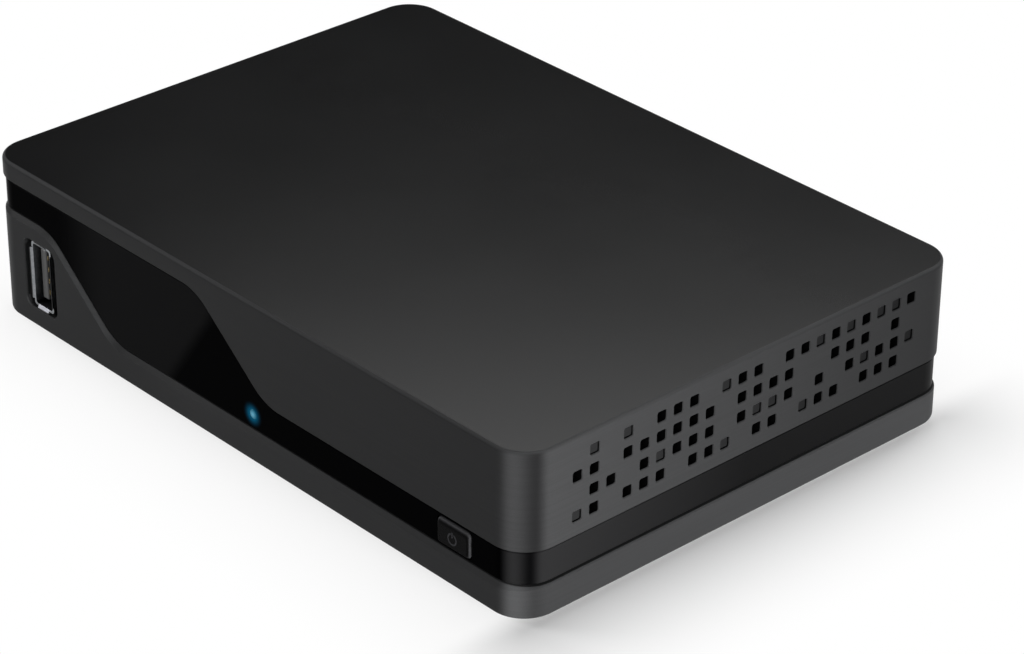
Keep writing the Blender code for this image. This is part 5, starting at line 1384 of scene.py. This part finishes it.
# %% Mix the finishes of the button and the light
# The paler rim colour is a painted highlight on the cap's rounded edge.
BUTTON_BLACK, BUTTON_RIM_HIGHLIGHT = (0.001, 0.001, 0.0011), (0.036, 0.036, 0.038)
BUTTON_MARK = (0.026, 0.026, 0.028)
BUTTON_ROUGH, BUTTON_SPECULAR, BUTTON_GRAIN = (0.26, 0.34), 0.02, (2500.0,) * 3
MARK_X, MARK_Z = button_middle.x - 0.0002, button_middle.z - 0.0004
MARK_RADIUS, MARK_LINE = 0.0010, (0.00010, 0.00020)
OPENING_SIDE, OPENING_LOW = (0.0003, 0.0004), (0.0, 0.0002)
BAR_MIDDLE, BAR_REACH = 0.0008, (0.0005, 0.0006)
MARK_DEPTH = (FRONT_Y + 0.0004, FRONT_Y + 0.0003)
RIM_HIGHLIGHT_DEPTH = (button_low.y + 0.00006, button_low.y + CAP_DEPTH / 2)
LIGHT_BASE, LIGHT_RIM, LIGHT_CORE = (0.01, 0.03, 0.04), (0.003, 0.075, 0.125), (0.085, 0.30, 0.42)
LIGHT_ROUGH, LIGHT_SPECULAR, LIGHT_GRAIN = (0.12, 0.2), 0.05, (1500.0,) * 3


def power_mark(finish):
    """Return the mark: 1 within a line's width of a circle and of an upright bar.

    The distance to the circle is the root of the sum of the squares across
    and up, less the circle's radius.
    """
    across, up = finish.x - MARK_X, finish.z - MARK_Z
    beside = abs(across)
    opening = beside.falling(*OPENING_SIDE) * up.ramp(*OPENING_LOW)
    circle = abs((across ** 2.0 + up ** 2.0).root() - MARK_RADIUS).falling(*MARK_LINE) * (1.0 - opening)
    upright = beside.falling(*MARK_LINE) * abs(up - BAR_MIDDLE).falling(*BAR_REACH)
    return circle.most(upright) * finish.y.ramp(*MARK_DEPTH)


def button_finish():
    """Return the cap's finish: satin black, a painted highlight on the rounded rim and the power mark."""
    finish = Finish("button_satin", BUTTON_BLACK, BUTTON_ROUGH[0], 0.0, BUTTON_SPECULAR)
    # A painted highlight on the rounded rim of the cap.
    cap = finish.y.ramp(*RIM_HIGHLIGHT_DEPTH).blend(BUTTON_BLACK, BUTTON_RIM_HIGHLIGHT)
    finish.set("Base Color", power_mark(finish).blend(cap, BUTTON_MARK))
    finish.set("Roughness", finish.noise(BUTTON_GRAIN).ramp(*NOISE_RANGE, *BUTTON_ROUGH))
    return finish


def light_finish():
    """Return the light's finish: a pale blue core that fades to its rim."""
    finish = Finish("status_light", LIGHT_BASE, LIGHT_ROUGH[0], 0.0, LIGHT_SPECULAR)
    core = finish.distance(LIGHT_PLACE).falling(0.0, LIGHT_RADIUS)
    finish.set("Emission Color", core.blend(LIGHT_RIM, LIGHT_CORE))
    finish.set("Emission Strength", 1.0)
    finish.set("Roughness", finish.noise(LIGHT_GRAIN).ramp(*NOISE_RANGE, *LIGHT_ROUGH))
    return finish


keep("button", button_finish())
keep("status_light", light_finish())

# %% [markdown]
# ## The finishes of the parts inside and behind
#
# Metals get fine pressing marks, boards get copper tracks that show through
# the solder mask, the ribbon gets its wires.  The tracks are bands of a noise
# whose values are cut into thin steps.

# %% Mix the other finishes
FINE, PRESSED = (1800.0, 1800.0, 1800.0), (300.0, 2400.0, 2400.0)
MASK_GREEN, TRACK_GREEN, PAD_TIN = (0.008, 0.070, 0.028), (0.014, 0.110, 0.045), (0.42, 0.36, 0.22)
MASK_ROUGH, TRACK_GRID, TRACK_NOISE, TRACK_STEPS = 0.32, (0.0012,) * 3, 260.0, 14.0
TRACK_EDGE, TRACK_BUMP = (0.42, 0.5), 0.00002
PAD_NOISE, PAD_EDGE, PAD_METAL = 420.0, (0.16, 0.20), 0.8
RIBBON_DARK, RIBBON_LIGHT, RIBBON_WAVES = (0.30, 0.30, 0.32), (0.55, 0.55, 0.57), 5000.0
RIBBON_ROUGH, RIBBON_BUMP = 0.45, 0.00005
PORT_STEEL, STEEL_LIGHT, PORT_ROUGH = (0.22, 0.23, 0.24), (0.30, 0.31, 0.32), (0.38, 0.46)
# Painted shade on the port's steel where it looks up and at its cut edge.
STEEL_PAINTED_SHADE, SHADE_FACING = (0.10, 0.10, 0.11), (0.2, 0.6)
PORT_EDGE_SHADE = (0.02, 0.02, 0.02)
GRAINED = {
    "rear_panel": ((0.010, 0.010, 0.011), (0.015, 0.015, 0.016), (0.45, 0.55), GRAIN, 0.00002),
    "rubber": ((0.010, 0.010, 0.010), (0.020, 0.020, 0.020), (0.75, 0.9), FINE, 0.00004, 0.0, 0.3),
    "chip": ((0.009, 0.009, 0.010), (0.016, 0.016, 0.017), (0.42, 0.58), FINE, 0.00001),
    "steel": ((0.50, 0.51, 0.53), (0.62, 0.63, 0.65), (0.24, 0.34), PRESSED, 0.000001, 1.0),
    "aluminium": ((0.58, 0.59, 0.61), (0.72, 0.73, 0.75), (0.32, 0.45), PRESSED, 0.00001, 1.0),
    "brass": ((0.62, 0.46, 0.20), (0.80, 0.62, 0.32), (0.22, 0.32), PRESSED, 0.0, 1.0),
    "white_plastic": ((0.70, 0.70, 0.66), (0.78, 0.78, 0.75), (0.36, 0.46), FINE, 0.00001),
    "grey_plastic": ((0.030, 0.030, 0.030), (0.040, 0.040, 0.040), (0.40, 0.50), FINE, 0.00001),
    "thermal_pad": ((0.30, 0.37, 0.45), (0.38, 0.46, 0.54), (0.7, 0.9), FINE, 0.00003),
}


def board_finish():
    """Return the solder mask: tracks are thin level sets of a blocky noise, pads are dots."""
    finish = Finish("circuit_board", MASK_GREEN, MASK_ROUGH)
    blocky = finish.term("VectorMath", {0: finish.place, 1: TRACK_GRID}, operation="SNAP")
    paths = finish.term("TexNoise", {"Vector": blocky, "Scale": TRACK_NOISE, "Detail": 1.0}, "Fac")
    track = (paths * TRACK_STEPS).reckon("FRACT").ramp(*TRACK_EDGE)
    dots = finish.term("TexVoronoi", {"Vector": finish.place, "Scale": PAD_NOISE}, "Distance")
    pad = dots.falling(*PAD_EDGE)
    finish.set("Base Color", pad.blend(track.blend(MASK_GREEN, TRACK_GREEN), PAD_TIN))
    finish.set("Metallic", pad * PAD_METAL)
    finish.bump(track, TRACK_BUMP)
    return finish


def ribbon_finish():
    """Return the flat cable: wires side by side, as a sine wave along x."""
    finish = Finish("ribbon", RIBBON_LIGHT, RIBBON_ROUGH)
    wires = (finish.x * RIBBON_WAVES).reckon("SINE").ramp(-1.0, 1.0)
    finish.set("Base Color", wires.blend(RIBBON_DARK, RIBBON_LIGHT))
    finish.bump(wires, RIBBON_BUMP)
    return finish


def port_finish():
    """Return the port's steel: duller than the rest, with painted shade where it looks up and at its cut
    edge.
    """
    finish = Finish("port_steel", PORT_STEEL, PORT_ROUGH[0], 1.0)
    marks = finish.noise(PRESSED)
    bright = marks.ramp(*NOISE_RANGE).blend(PORT_STEEL, STEEL_LIGHT)
    # Painted shade where the steel looks up.
    bright = finish.facing()[2].ramp(*SHADE_FACING).blend(bright, STEEL_PAINTED_SHADE)
    edge = finish.y.ramp(usb_low.y, usb_low.y + LIP_DEPTH / 5)
    finish.set("Base Color", edge.blend(PORT_EDGE_SHADE, bright))
    finish.set("Roughness", marks.ramp(*NOISE_RANGE, *PORT_ROUGH))
    return finish


keep("circuit_board", board_finish())
keep("ribbon", ribbon_finish())
keep("port_steel", port_finish())
for name, look in GRAINED.items():
    keep(name, grained(name, *look))

# %% [markdown]
# ## The white ground
#
# The photograph's ground is plain white with a short shadow.  To the camera
# and to reflections the floor is therefore the lit floor, shadow and all,
# mixed with plain white.  The share of white grows with the distance from the
# box, quickly at first, and starts lower on the right, where the shadow lies.

# %% Mix the floor
FLOOR_LIFT, FLOOR_FADE, FLOOR_CURVE = (0.76, 0.14), 0.030, 0.4
FLOOR_WHITE, FLOOR_ROUGH = (0.9, 0.9, 0.9), 0.9
FLOOR_EVEN, FLOOR_GRAIN = (0.895, 0.905), (60.0,) * 3
SEEN_RAYS = ("Is Camera Ray", "Is Glossy Ray", "Is Transmission Ray")


def floor_finish():
    """Return the floor's finish.  The distance is the root of the squares past the box's sides."""
    finish = Finish("floor_white", FLOOR_WHITE, FLOOR_ROUGH, 0.0, 0.0)
    beside = (abs(finish.x) - RIGHT_X).most(0.0)
    before = (abs(finish.y - MIDDLE_Y) - (BACK_Y - MIDDLE_Y)).most(0.0)
    far = (beside ** 2.0 + before ** 2.0).root().ramp(0.0, FLOOR_FADE) ** FLOOR_CURVE
    near_white = finish.x.ramp(RIGHT_X - CORNER_RADIUS, RIGHT_X, *FLOOR_LIFT)
    camera, mirror, glass = (finish.term("LightPath", {}, ray) for ray in SEEN_RAYS)
    white = (camera + mirror + glass).least(1.0) * far.mix(near_white, 1.0)
    lit = finish.noise(FLOOR_GRAIN).ramp(*NOISE_RANGE, *FLOOR_EVEN) * (1.0 - white)
    finish.set("Base Color", finish.term("CombineColor", {0: lit, 1: lit, 2: lit}))
    finish.set("Emission Color", (1, 1, 1, 1))
    finish.set("Emission Strength", white)
    return finish


keep("floor_white", floor_finish())

# %% Coat every piece
def coat(item, finish):
    """Give a piece one finish for all its faces."""
    item.data.materials.clear()
    item.data.materials.append(finish.material)


for name, slot in PIECE_SLOTS.items():
    coat(bpy.data.objects[name], FINISHES[slot])
coat(bpy.data.objects["usb_steel"], FINISHES["port_steel"])
coat(floor, FINISHES["floor_white"])
print(len(PIECE_SLOTS), "pieces in", len(FINISHES), "finishes")
